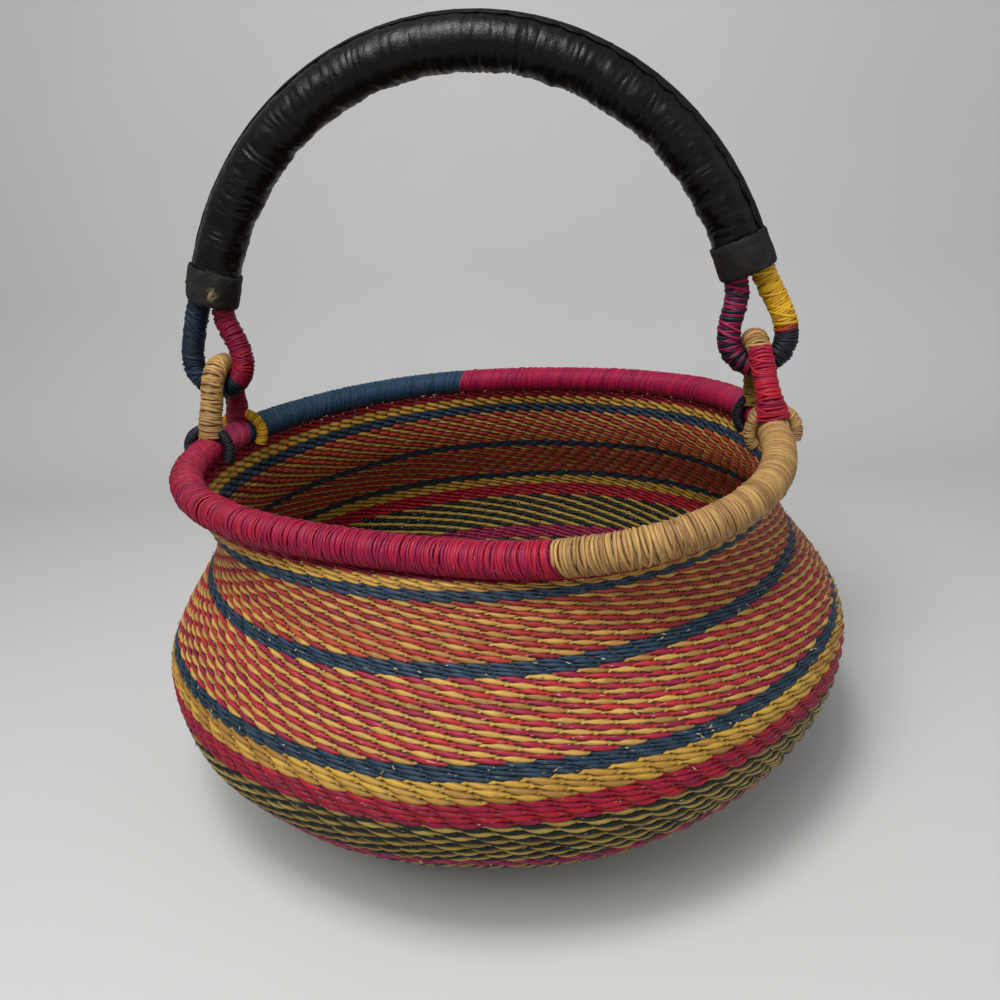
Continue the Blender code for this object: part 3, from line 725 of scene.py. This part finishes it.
# %% Bails
FORK_RADIUS, FORK_REACH = 3.5 * MM, 122 * DEGREE
STRAND_RADIUS, LINK_CORE_RADIUS = 1.5 * MM, 2.7 * MM
BAIL_BEND_RADIUS, BAIL_FOOT_SPREAD = 14.4 * MM, 18.5 * MM
BAIL_RISE, BAIL_LEAN = {-1: 46 * MM, 1: 47 * MM}, {-1: 8 * DEGREE, 1: 10 * DEGREE}
LINK_RADIUS = (LINK_CORE_RADIUS + FIT_GAP + STRAND_RADIUS) / math.cos(math.pi / 8) + STRAND_RADIUS
BAIL_START = 2 * FORK_RADIUS + RIM_RADIUS + 2 * FIT_GAP
FOOT_DROP, FOOT_FLARE = 8.5 * MM, {-1: 1.4 * MM, 1: 4.2 * MM}
LINK_THREAD, LINK_PITCH = 0.95 * MM, 1.42 * MM
LINK_COIL = LINK_RADIUS - (PRESSED + SHINGLE / 2) * LINK_THREAD
LINK_OVAL = section("link_oval", LINK_THREAD, LINK_THREAD)


def rim_centre(angle):
    return Vector(woven(
        rim_reach + seat * math.sin(rim_lean), rim_level + seat * math.cos(rim_lean), angle))


def bail_frame(sign):
    """Rim point under a bail, and the bail's directions: up along it, and outward."""
    foot = rim_centre(0 if sign > 0 else math.pi)
    lean = BAIL_LEAN[sign]
    return foot, Vector((-sign * math.sin(lean), 0, math.cos(lean))), \
        Vector((sign * math.cos(lean), 0, math.sin(lean)))


def bail_route(sign):
    """Centreline of a bail, from its front foot over the crown to its back foot."""
    foot, up, _ = bail_frame(sign)
    start, bend = BAIL_START, BAIL_RISE[sign] - BAIL_BEND_RADIUS
    part = np.linspace(0, 1, 60, endpoint=False)
    half = BAIL_BEND_RADIUS + (BAIL_FOOT_SPREAD - BAIL_BEND_RADIUS) * (1 + np.cos(math.pi * part)) / 2
    turn = np.linspace(0, math.pi, 121)
    spread = np.concatenate([half, BAIL_BEND_RADIUS * np.cos(turn), -half[::-1]])
    rise = np.concatenate([
        start + (bend - start) * part, bend + BAIL_BEND_RADIUS * np.sin(turn),
        (start + (bend - start) * part)[::-1],
    ])
    return np.array(foot) + np.outer(spread, (0, -1, 0)) + np.outer(rise, up)


def wind_link(name, route, side, first, last, finish, body, node, dyes=(0,), flare=None):
    """Wind a share of a bail or ring with thread."""
    length = lengths_along(route)[-1]
    thread = wound(route, side, first * length, last * length, LINK_COIL, LINK_PITCH, 14,
                   0.5 * LINK_PITCH, slack=0.9, flare=flare, dyes=dyes)
    crossing = wound(route, side, first * length + MM, last * length - MM, LINK_COIL + OVER,
                     2.9 * LINK_PITCH, 14, -0.9 * LINK_PITCH, slack=1.1, flare=flare,
                     dyes=dyes if len(dyes) < 12 else (0,))
    inside = sleeve(route, first * length, last * length, LINK_COIL - 0.2 * MM, LINK_OVAL,
                    dyes[-1] if len(dyes) < 12 else 0)
    strand_piece(name, [thread, crossing, inside], LINK_OVAL, finish, body, [node])


tan_thread = straw_finish("tan_thread", TAN, flecks=0.3)
magenta_thread = straw_finish("magenta_thread", "84042C", flecks=0.04)
bright_magenta_thread = straw_finish("bright_magenta_thread", "AE1A3A", flecks=0.15)
olive_thread = straw_finish("olive_thread", "A5853A", flecks=0.2)
yellow_thread = straw_finish("yellow_thread", "DCA820", "A23A1E", flecks=0.15)
blue_thread = straw_finish("blue_thread", "0C2032", flecks=0.12)
teal_thread = straw_finish("teal_thread", "0E2129", flecks=0.1)
navy_thread = straw_finish("navy_thread", "1B1826", flecks=0.1)
striped_thread = straw_finish("striped_thread", "8E1644", "1E1C2C", flecks=0.15)
BAIL_WINDINGS = (
    (-1, "left_bail_tan_winding", 0, 0.66, tan_thread, "tan_straw"),
    (-1, "left_bail_magenta_winding", 0.66, 1, magenta_thread, "magenta_straw"),
    (1, "right_bail_magenta_winding", 0, 0.36, bright_magenta_thread, "magenta_straw"),
    (1, "right_bail_tan_winding", 0.36, 0.72, tan_thread, "tan_straw"),
    (1, "right_bail_olive_winding", 0.72, 1, olive_thread, "yellow_straw"),
)
for sign, node, first, last, finish, slot in BAIL_WINDINGS:
    _, up, out = bail_frame(sign)
    route = bail_route(sign)
    steps = np.linspace(FOOT_DROP, 0, 12, endpoint=False)[:, None]
    drop = np.array(up) * steps
    route = np.concatenate([route[0] - drop, route, (route[-1] - drop)[::-1]])
    length = lengths_along(route)[-1]
    shown = (length - 2 * FOOT_DROP) / length
    start = 0 if first == 0 else (1 - shown) / 2 + first * shown
    stop = 1 if last == 1 else (1 - shown) / 2 + last * shown

    def flare(run, length=length, amount=FOOT_FLARE[sign]):
        foot = np.minimum(run, length - run)
        return amount * np.clip(1 - foot / (2 * FOOT_DROP), 0, 1) ** 2

    wind_link(node.replace("winding", "thread"), route, out, start, stop, finish, "basket",
              node, flare=flare)

# %% Forks over the rim
FORK_OVAL = section("fork_oval", 0.85 * MM, 0.85 * MM)
FORKS = (
    ("left_front_fork", -1, -1, navy_thread, "blue_straw"),
    ("left_back_fork", -1, 1, yellow_thread, "yellow_straw"),
    ("right_front_fork", 1, -1, tan_thread, "tan_straw"),
    ("right_back_fork", 1, 1, navy_thread, "blue_straw"),
)
for node, sign, side, finish, slot in FORKS:
    _, up, out = bail_frame(sign)
    angle = math.asin(side * BAIL_FOOT_SPREAD / NECK_RADIUS)
    foot = rim_centre(angle if sign > 0 else math.pi - angle)
    turn = np.linspace(-FORK_REACH, FORK_REACH, 60)
    reach = RIM_RADIUS + FIT_GAP + FORK_RADIUS
    route = np.array(foot) + reach * (np.outer(np.sin(turn), out) + np.outer(np.cos(turn), up))
    length = lengths_along(route)[-1]
    thread = wound(route, (0, 1, 0), 0, length, FORK_RADIUS - 0.6 * MM, 1.25 * MM, 12, 0.6 * MM)
    inside = sleeve(route, 0, length, FORK_RADIUS - 0.8 * MM, FORK_OVAL)
    strand_piece(node + "_thread", [thread, inside], FORK_OVAL, finish, "basket", [node])

# %% [markdown]
# ## The handle's place
#
# The handle is built upright round the middle of its hinge, and then it is set on the line
# that joins the two rings' lowest points. The arch is a tall half ellipse.

# %% The handle's place
ARCH_CENTRE_HEIGHT, ARCH_RISE = 9.2 * MM, 156.5 * MM
ARCH_INSET, ARCH_SHIFT = 1.4 * MM, 2.2 * MM
CUFF_TOP_HEIGHT, CUFF_LENGTH, CUFF_FLOOR = 66 * MM, 19 * MM, 8 * MM
LEATHER_RADIUS, RING_BEND_RADIUS, RING_NECK = 12.9 * MM, 15 * MM, 7 * MM
RING_UPRIGHT_SHARE = 0.5
LINK_PLAY = 0.8 * MM


def pivot(sign):
    foot, up, _ = bail_frame(sign)
    return foot + (BAIL_RISE[sign] - 2 * LINK_RADIUS - LINK_PLAY) * up


pivot_line = pivot(1) - pivot(-1)
HALF_SPAN = pivot_line.length / 2
ARCH_HALF_WIDTH = HALF_SPAN - ARCH_INSET
HANDLE_PLACE = (
    Matrix.Translation((pivot(1) + pivot(-1)) / 2)
    @ Matrix.Rotation(-math.atan2(pivot_line.z, pivot_line.x), 4, "Y")
)
ARCH_START = math.asin((CUFF_TOP_HEIGHT - ARCH_CENTRE_HEIGHT) / ARCH_RISE)


def on_handle(points):
    """Move points of the upright handle to its place on the basket."""
    place = np.array(HANDLE_PLACE)
    return np.asarray(points) @ place[:3, :3].T + place[:3, 3]


def arch_point(turn, offset=0):
    """Points of the handle's arch, an offset outside its centreline."""
    x, z = ARCH_HALF_WIDTH * np.cos(turn), ARCH_RISE * np.sin(turn)
    outward = unit(np.stack([x / ARCH_HALF_WIDTH ** 2, 0 * x, z / ARCH_RISE ** 2], axis=-1))
    return np.stack([x - ARCH_SHIFT, 0 * x, ARCH_CENTRE_HEIGHT + z], axis=-1) + offset * outward


def cuff_frame(sign):
    """Middle of a cuff's underside, and the cuff's direction up into the arch."""
    turn = ARCH_START if sign > 0 else math.pi - ARCH_START
    up = Vector((
        -sign * ARCH_HALF_WIDTH * math.sin(ARCH_START), 0, ARCH_RISE * math.cos(ARCH_START)))
    up.normalize()
    return Vector(arch_point(np.float64(turn))) - CUFF_LENGTH * up, up


print("the handle turns about", [round(v, 4) for v in HANDLE_PLACE.translation])

# %% Rings
def ring_route(sign):
    """Centreline of a ring, from its left leg's end down, round the bend and up again."""
    foot, up = cuff_frame(sign)
    bottom = Vector((sign * HALF_SPAN, 0, 0))
    down = (bottom - foot).normalized().lerp(-UP, RING_UPRIGHT_SHARE).normalized()
    bend_centre = bottom - RING_BEND_RADIUS * down
    reach = (foot - bend_centre).length / 3
    knots = [np.array(k) for k in (bend_centre, bend_centre - reach * down, foot - reach * up, foot)]
    part = np.linspace(0, 1, 61)[1:, None]
    rest = 1 - part
    middle = (rest ** 3 * knots[0] + 3 * part * rest ** 2 * knots[1]
              + 3 * rest * part ** 2 * knots[2] + part ** 3 * knots[3])
    slope = unit(rest ** 2 * (knots[1] - knots[0]) + 2 * part * rest * (knots[2] - knots[1])
                 + part ** 2 * (knots[3] - knots[2]))
    half = RING_NECK + (RING_BEND_RADIUS - RING_NECK) * (1 + np.cos(math.pi * part)) / 2
    sideways = half * np.cross((0, 1, 0), slope)
    turn = np.linspace(0, math.pi, 121)[:, None]
    side = np.array(Vector((0, 1, 0)).cross(-down))
    bend = np.array(bend_centre) + RING_BEND_RADIUS * (
        np.sin(turn) * np.array(down) - np.cos(turn) * side)
    end = CUFF_FLOOR * np.array(up)
    left, right = middle - sideways, middle + sideways
    return on_handle(np.concatenate([[left[-1] + end], left[::-1], bend, right, [right[-1] + end]]))


RING_WINDINGS = (
    (-1, "left_ring_blue_winding", 0, 0.41, blue_thread, "blue_straw", (0,)),
    (-1, "left_ring_teal_winding", 0.41, 0.61, teal_thread, "blue_straw", (0,)),
    (-1, "left_ring_magenta_winding", 0.61, 1, magenta_thread, "magenta_straw", (0,)),
    (1, "right_ring_striped_winding", 0, 0.54, striped_thread, "magenta_straw", (0, 0, 1, 0, 1, 1)),
    (1, "right_ring_navy_winding", 0.54, 0.68, navy_thread, "blue_straw", (0,)),
    (1, "right_ring_yellow_winding", 0.68, 1, yellow_thread, "yellow_straw", (1, 1) + (0,) * 60),
)
for sign, node, first, last, finish, slot, dyes in RING_WINDINGS:
    route = ring_route(sign)
    hidden = CUFF_FLOOR / 2 / lengths_along(route)[-1]
    wind_link(node.replace("winding", "thread"), route, (0, 1, 0),
              hidden + first * (1 - 2 * hidden), hidden + last * (1 - 2 * hidden),
              finish, "handle", node, dyes)

# %% [markdown]
# ## Black leather
#
# The grip is a straw bundle under thin glossy leather, so the bundle's turns press through
# as cross ribs and the inner side is scalloped. The ribs are real vertex moves, because
# they show in the outline. Fine grain and small creases stay in the finish.

# %% Leather finishes
def leather_finish(name, colour, worn, roughness, grain, gloss=0.5, scuff=None):
    """Leather with a pore grain, fine creases, patches of wear and perhaps one pale scuff."""
    finish, shader = new_finish(name, roughness)
    shader.inputs["Specular IOR Level"].default_value = gloss
    place = wire(finish, "ShaderNodeTexCoord").outputs["Object"]
    pores = wire(finish, "ShaderNodeTexVoronoi", {"Vector": place, "Scale": 1100}).outputs["Distance"]
    creases = wire(finish, "ShaderNodeTexNoise", {
        "Vector": place, "Scale": 260, "Detail": 5, "Roughness": 0.62, "Distortion": 0.8,
    }).outputs["Fac"]
    patches_of_wear = wire(finish, "ShaderNodeTexNoise", {
        "Vector": place, "Scale": 70, "Detail": 4, "Roughness": 0.7,
    }).outputs["Fac"]
    wear = wire(finish, "ShaderNodeMapRange", {
        "Value": patches_of_wear, "From Min": 0.5, "From Max": 0.75,
    }).outputs["Result"]
    colour_mix = wire(finish, "ShaderNodeMix", {
        "Factor": wear, "A": dye(colour), "B": dye(worn),
    }, data_type="RGBA").outputs["Result"]
    shine = wire(finish, "ShaderNodeMapRange", {
        "Value": creases, "From Min": 0.3, "From Max": 0.7,
        "To Min": roughness - 0.08, "To Max": roughness + 0.14,
    }).outputs["Result"]
    fine = wire(finish, "ShaderNodeBump", {
        "Height": pores, "Strength": grain, "Distance": 0.2 * MM,
    })
    bump = wire(finish, "ShaderNodeBump", {
        "Height": creases, "Strength": grain, "Distance": 0.9 * MM,
        "Normal": fine.outputs["Normal"],
    })
    if scuff:
        reach = wire(finish, "ShaderNodeVectorMath", {0: place, 1: scuff}, operation="DISTANCE")
        rubbed = wire(finish, "ShaderNodeMath", {
            0: wire(finish, "ShaderNodeMapRange", {
                "Value": reach.outputs["Value"], "From Min": 1 * MM, "From Max": 4.5 * MM,
                "To Min": 1, "To Max": 0,
            }).outputs["Result"],
            1: wire(finish, "ShaderNodeMapRange", {
                "Value": creases, "From Min": 0.45, "From Max": 0.6,
            }).outputs["Result"],
        }, operation="MULTIPLY").outputs["Value"]
        colour_mix = wire(finish, "ShaderNodeMix", {
            "Factor": rubbed, "A": colour_mix, "B": dye("8C7C58"),
        }, data_type="RGBA").outputs["Result"]
    links = finish.node_tree.links
    links.new(colour_mix, shader.inputs["Base Color"])
    links.new(shine, shader.inputs["Roughness"])
    links.new(bump.outputs["Normal"], shader.inputs["Normal"])
    return finish


black_leather = leather_finish("black_leather", "030304", "08080A", 0.34, 0.34, gloss=0.2)
seam_leather = leather_finish("seam_leather", "0D0C0A", "1D1A15", 0.6, 0.45, gloss=0.12)


# %% Leather grip
def smooth_noise(*place):
    return noise.noise(Vector(place))


LEATHER_SIDES, LEATHER_STEPS = 44, 1100
LEATHER_OVAL = section("leather_oval", LEATHER_RADIUS, LEATHER_RADIUS, LEATHER_SIDES)
cuff_tuck = 6 * MM
leather_turns = np.linspace(
    ARCH_START - cuff_tuck / ARCH_RISE, math.pi - ARCH_START + cuff_tuck / ARCH_RISE, LEATHER_STEPS)
leather_line = arch_point(leather_turns)
leather_run = lengths_along(leather_line) / MM
mesh = swept_mesh("leather_grip", [strand(on_handle(leather_line), 0)], LEATHER_OVAL, "Z_UP")
co = np.zeros(len(mesh.vertices) * 3)
mesh.vertices.foreach_get("co", co)
co = co.reshape(LEATHER_STEPS, LEATHER_SIDES, 3)
centre = co.mean(axis=1, keepdims=True)
outward = unit(co - centre)
arch_out = unit(on_handle(arch_point(leather_turns, MM)) - on_handle(leather_line))[:, None, :]
inner = (1 - (outward * arch_out).sum(axis=2)) / 2
press = np.zeros((LEATHER_STEPS, LEATHER_SIDES))
for step in range(LEATHER_STEPS):
    for side in range(LEATHER_SIDES):
        x, y, z = outward[step, side] * 1.3
        length = leather_run[step]
        run = length + 3.4 * smooth_noise(x, y, length / 9)
        rib = 1 - abs(math.sin(math.pi * run / 4.3 + 1.6 * smooth_noise(y, 4, length / 12)))
        depth = max(0, 0.12 + 1.5 * smooth_noise(x * 1.5, y * 1.5 + 9, length / 10))
        lump = smooth_noise(x * 0.8, y * 0.8, length / 11)
        fold = smooth_noise(x * 2.2, y * 2.2 + 0.15 * length, length / 3.1)
        share = 0.35 + 0.65 * inner[step, side]
        press[step, side] = share * (1.1 * lump + 0.6 * fold) - (0.25 + 0.5 * share) * depth * rib
co = centre + outward * (LEATHER_RADIUS + press[:, :, None] * MM)
mesh.vertices.foreach_set("co", co.ravel())
close_ends(mesh)
mesh.materials.append(black_leather)
grip = bpy.data.objects.new("leather_grip", mesh)
bpy.context.scene.collection.objects.link(grip)
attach(grip, "handle")
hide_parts("handle_leather")
print("leather grip:", round(float(leather_run[-1])), "mm along its middle")

# %% [markdown]
# ## The laced seam
#
# The leather closes along the outer edge of the grip in a browner strip, which lies over
# more of the front towards the right. It is laced at long steps, so its edges bulge like
# leaves between the stitches. The strip is swept as an oval and then bent round the grip,
# because a flat strip would stand off at both sides. Each stitch is a short bent strap.

# %% The laced seam
SEAM_STEPS, SEAM_PITCH, SEAM_RAISE = 420, 13, 0.7 * MM
SEAM_OVAL = section("seam_oval", 1 * MM, 1 * MM, sides=16)
seam_turns = np.linspace(ARCH_START + 0.004, math.pi - ARCH_START - 0.004, SEAM_STEPS)
seam_line = arch_point(seam_turns)
seam_out = unit(arch_point(seam_turns, MM) - seam_line)
seam_run = lengths_along(arch_point(seam_turns, LEATHER_RADIUS)) / MM
wobble = np.array([smooth_noise(run / 11, 3.1, 0) for run in seam_run])
rightward = np.clip(0.5 + 0.7 * np.cos(seam_turns), 0, 1)
seam_slide = (0.6 * wobble + 3.6 * rightward) * MM / LEATHER_RADIUS
seam_width = (3.1 + 2.4 * rightward + 0.4 * wobble) * MM
seam_width *= 0.74 + 0.32 * np.abs(np.sin(math.pi * seam_run / SEAM_PITCH))


def over_grip(turn_index, slide, raise_by):
    """Points on the grip: a slide round it from its outer edge, and a height above it."""
    line = np.stack([np.interp(turn_index, np.arange(SEAM_STEPS), seam_line[:, a]) for a in range(3)], -1)
    out = np.stack([np.interp(turn_index, np.arange(SEAM_STEPS), seam_out[:, a]) for a in range(3)], -1)
    reach = (LEATHER_RADIUS + raise_by)[..., None]
    forward_way = np.array((0, -1, 0))
    return line + reach * (np.cos(slide)[..., None] * out + np.sin(slide)[..., None] * forward_way)


welt = strand_piece("seam_welt", [strand(on_handle(seam_line), 0.5)], SEAM_OVAL, seam_leather,
                    "handle", ["handle_seam"], "Z_UP")
ring = oval_ring(SEAM_OVAL) / MM
steps = np.arange(SEAM_STEPS)[:, None] + np.zeros(len(ring))
slide = seam_slide[:, None] + ring[:, 0] * seam_width[:, None] / LEATHER_RADIUS
height = SEAM_RAISE * (0.4 + ring[:, 1] * (1.5 + 0.3 * wobble[:, None]))
co = on_handle(over_grip(steps, slide, height).reshape(-1, 3))
welt.data.vertices.foreach_set("co", co.ravel())
THONG_OVAL = section("thong_oval", 0.42 * MM, 0.95 * MM, sides=8)


def flat_tilt(points, normals):
    """Tilt that lays an oval's thin side along the normals, on a curve that twists Z_UP."""
    heading = unit(np.gradient(points, axis=0))
    raised = unit(np.array(UP) - heading * heading[:, 2:])
    sideways = np.cross(heading, raised)
    return np.arctan2(-(normals * raised).sum(axis=1), (normals * sideways).sum(axis=1))


strands = []
for run in np.arange(SEAM_PITCH, seam_run[-1] - 5, SEAM_PITCH):
    across = np.linspace(-1, 1, 13)
    steps = np.interp(run + 3.4 * across, seam_run, np.arange(SEAM_STEPS))
    middle = int(np.interp(run, seam_run, np.arange(SEAM_STEPS)))
    slide = seam_slide[middle] + across * 1.15 * seam_width[middle] / LEATHER_RADIUS
    lift = (1.5 * np.sqrt(1 - (0.9 * across) ** 2) - 0.5) * MM
    points = over_grip(steps, slide, lift)
    normals = points - over_grip(steps, slide, -LEATHER_RADIUS + 0 * lift)
    points = on_handle(points)
    normals = unit(normals @ np.array(HANDLE_PLACE)[:3, :3].T)
    strands.append(strand(points, chance.uniform(), tilt=flat_tilt(points, normals),
                          swell=np.sqrt(1.05 - across ** 2)))
strand_piece("seam_thongs", strands, THONG_OVAL, seam_leather, "handle",
             twist="Z_UP")

# %% [markdown]
# ## Cuffs
#
# A band of matt leather is folded round each end of the grip. Its profile, with rolled
# lips and a slight belly, is spun round the cuff's own axis. Then the points are moved a
# little by noise, so that the band looks wrapped and not turned on a lathe.

# %% Cuffs
CUFF_PROFILE = (
    (0, 0.6), (6, 0.2), (12.2, 0), (13.9, 0.5), (14.5, 1.8), (14.7, 5), (14.8, 9), (14.6, 13.5),
    (14.6, 17), (14.3, 18.5), (13.7, 19), (13.2, 18.3), (12.7, 15), (12.6, 11),
)


LAP, LAP_SLANT = 1.1, 0.07


def cuff(name, sign, node):
    foot, up = cuff_frame(sign)
    edge = HANDLE_PLACE @ (foot + 6 * MM * up + Vector((5.5 * MM, -13.8 * MM, 0)))
    finish = leather_finish(name + "_leather", "191715", "2B2723", 0.66, 0.5, 0.2,
                            scuff=tuple(edge) if sign < 0 else None)
    bm = bmesh.new()
    corners = [bm.verts.new((radius * MM, 0, height * MM)) for radius, height in CUFF_PROFILE]
    edges = [bm.edges.new(pair) for pair in zip(corners, corners[1:])]
    bmesh.ops.spin(bm, geom=corners + edges, cent=(0, 0, 0), axis=(0, 0, 1), angle=FULL_TURN,
                   steps=56, use_merge=True)
    bmesh.ops.remove_doubles(bm, verts=bm.verts, dist=1e-5)
    bmesh.ops.subdivide_edges(bm, edges=bm.edges, cuts=1, use_grid_fill=True)
    for vert in bm.verts:
        x, y, z = vert.co / MM
        radius = math.hypot(x, y)
        if radius > 12:
            around = (math.atan2(y, x) + math.pi / 2 - sign * (0.35 + LAP_SLANT * z)) / FULL_TURN
            lap = LAP * (1 - around % 1) if radius > 13.4 else 0
            fold = 0.6 * smooth_noise(x / 8 + 7 * sign, y / 8, z / 8)
            crease = 0.7 * max(0, smooth_noise(x / 7, y / 7, (z + 0.5 * sign * x) / 2.4))
            vert.co.x *= 1 + (fold + lap - crease - 0.5) / radius
            vert.co.y *= 1 + (fold + lap - crease - 0.5) / radius
            fray = 0.5 * smooth_noise(x / 2.5, y / 2.5, 8) if z > 16 or z < 3 else 0
            vert.co.z += (0.8 * smooth_noise(x / 10, y / 10 + 5, sign) * min(1, z / 8) + fray) * MM
    bmesh.ops.recalc_face_normals(bm, faces=bm.faces)
    mesh = bpy.data.meshes.new(name)
    bm.to_mesh(mesh)
    bm.free()
    mesh.transform(
        HANDLE_PLACE @ Matrix.Translation(foot) @ Matrix.Rotation(math.atan2(up.x, up.z), 4, "Y"))
    mesh.shade_smooth()
    mesh.materials.append(finish)
    piece = bpy.data.objects.new(name, mesh)
    bpy.context.scene.collection.objects.link(piece)
    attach(piece, "handle")
    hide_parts(node)
    print(name, len(mesh.polygons), "faces")


cuff("left_cuff_band", -1, "left_cuff")
cuff("right_cuff_band", 1, "right_cuff")

# %% [markdown]
# ## Bundles inside
#
# The cores stay as CAD solids. They hardly show, yet each gets a finish of its own: a
# bundle of undyed straw, drawn by noise in Object coordinates.

# %% Bundles inside
bundle, shader = new_finish("straw_bundle", 0.6)
place = wire(bundle, "ShaderNodeTexCoord").outputs["Object"]
streaks = wire(bundle, "ShaderNodeTexNoise", {
    "Vector": place, "Scale": 420, "Detail": 4, "Roughness": 0.6,
}).outputs["Fac"]
tone = wire(bundle, "ShaderNodeMix", {
    "Factor": streaks, "A": dye("6E5A36"), "B": dye("C9AE78"),
}, data_type="RGBA").outputs["Result"]
bump = wire(bundle, "ShaderNodeBump", {"Height": streaks, "Strength": 0.5, "Distance": 0.4 * MM})
bundle.node_tree.links.new(tone, shader.inputs["Base Color"])
bundle.node_tree.links.new(bump.outputs["Normal"], shader.inputs["Normal"])
for node in ("rim_core", "left_bail_core", "right_bail_core", "left_ring_core",
             "right_ring_core", "handle_core"):
    frame["nodes"][node].data.materials.clear()
    frame["nodes"][node].data.materials.append(bundle)
    frame["nodes"][node].material_slots[0].material = bundle
print("cores finished as straw bundles")

# %% [markdown]
# ## Floor, backdrop and light
#
# A pale paper sweep stands behind the basket, made from a bent profile that is extruded
# sideways. One large soft lamp from above and a weaker one from the side give the calm
# light of a studio, and the pale world fills the shadows.

# %% Floor and backdrop
bm = bmesh.new()
profile = [(-1.6, 0), (0.45, 0)]
profile += [(0.45 + 0.25 * math.sin(a), 0.25 - 0.25 * math.cos(a)) for a in np.linspace(0.15, 1.5, 10)]
profile += [(0.72, 0.4), (0.78, 2.2)]
corners = [bm.verts.new((-2.2, y, z)) for y, z in profile]
edges = [bm.edges.new(pair) for pair in zip(corners, corners[1:])]
grown = bmesh.ops.extrude_edge_only(bm, edges=edges)
bmesh.ops.translate(bm, vec=(4.4, 0, 0),
                    verts=[v for v in grown["geom"] if isinstance(v, bmesh.types.BMVert)])
bmesh.ops.recalc_face_normals(bm, faces=bm.faces)
sweep_mesh = bpy.data.meshes.new("paper_sweep")
bm.to_mesh(sweep_mesh)
bm.free()
sweep_mesh.shade_smooth()
paper, shader = new_finish("pale_paper", 0.85)
mottle = wire(paper, "ShaderNodeTexNoise", {
    "Vector": wire(paper, "ShaderNodeTexCoord").outputs["Object"], "Scale": 3, "Detail": 3,
}).outputs["Fac"]
tone = wire(paper, "ShaderNodeMix", {
    "Factor": mottle, "A": dye("C2C2C0"), "B": dye("CACAC8"),
}, data_type="RGBA").outputs["Result"]
paper.node_tree.links.new(tone, shader.inputs["Base Color"])
sweep_mesh.materials.append(paper)
paper_sweep = bpy.data.objects.new("paper_sweep", sweep_mesh)
bpy.context.scene.collection.objects.link(paper_sweep)
print("floor and backdrop ready")


# %% Lamps and world
def soft_lamp(name, place, target, size, power):
    lamp = bpy.data.lights.new(name, "AREA")
    lamp.size, lamp.energy = size, power
    holder = bpy.data.objects.new(name, lamp)
    bpy.context.scene.collection.objects.link(holder)
    holder.location = place
    holder.rotation_euler = (Vector(target) - Vector(place)).to_track_quat("-Z", "Y").to_euler()


soft_lamp("key_lamp", (-0.35, -0.8, 1.3), (0, 0, 0.15), 0.8, 9.4)
soft_lamp("front_lamp", (0.2, -1.3, 0.85), (0, 0, 0.15), 0.6, 1.5)
soft_lamp("inner_lamp", (-0.08, -0.34, 0.86), (0, 0.15, 0.12), 0.25, 4)
soft_lamp("side_lamp", (1.2, -0.5, 0.8), (0, 0, 0.15), 0.9, 1.6)
world = bpy.data.worlds.new("pale_room")
bpy.context.scene.world = world
world.use_nodes = True
world.node_tree.nodes["Background"].inputs["Color"].default_value = (0.95, 0.97, 1, 1)
world.node_tree.nodes["Background"].inputs["Strength"].default_value = 0.36
bpy.context.scene.view_settings.view_transform = "Standard"

# %% Finish
for oval in [obj for obj in bpy.data.objects if obj.name.endswith("_oval")]:
    bpy.data.objects.remove(oval)
import json
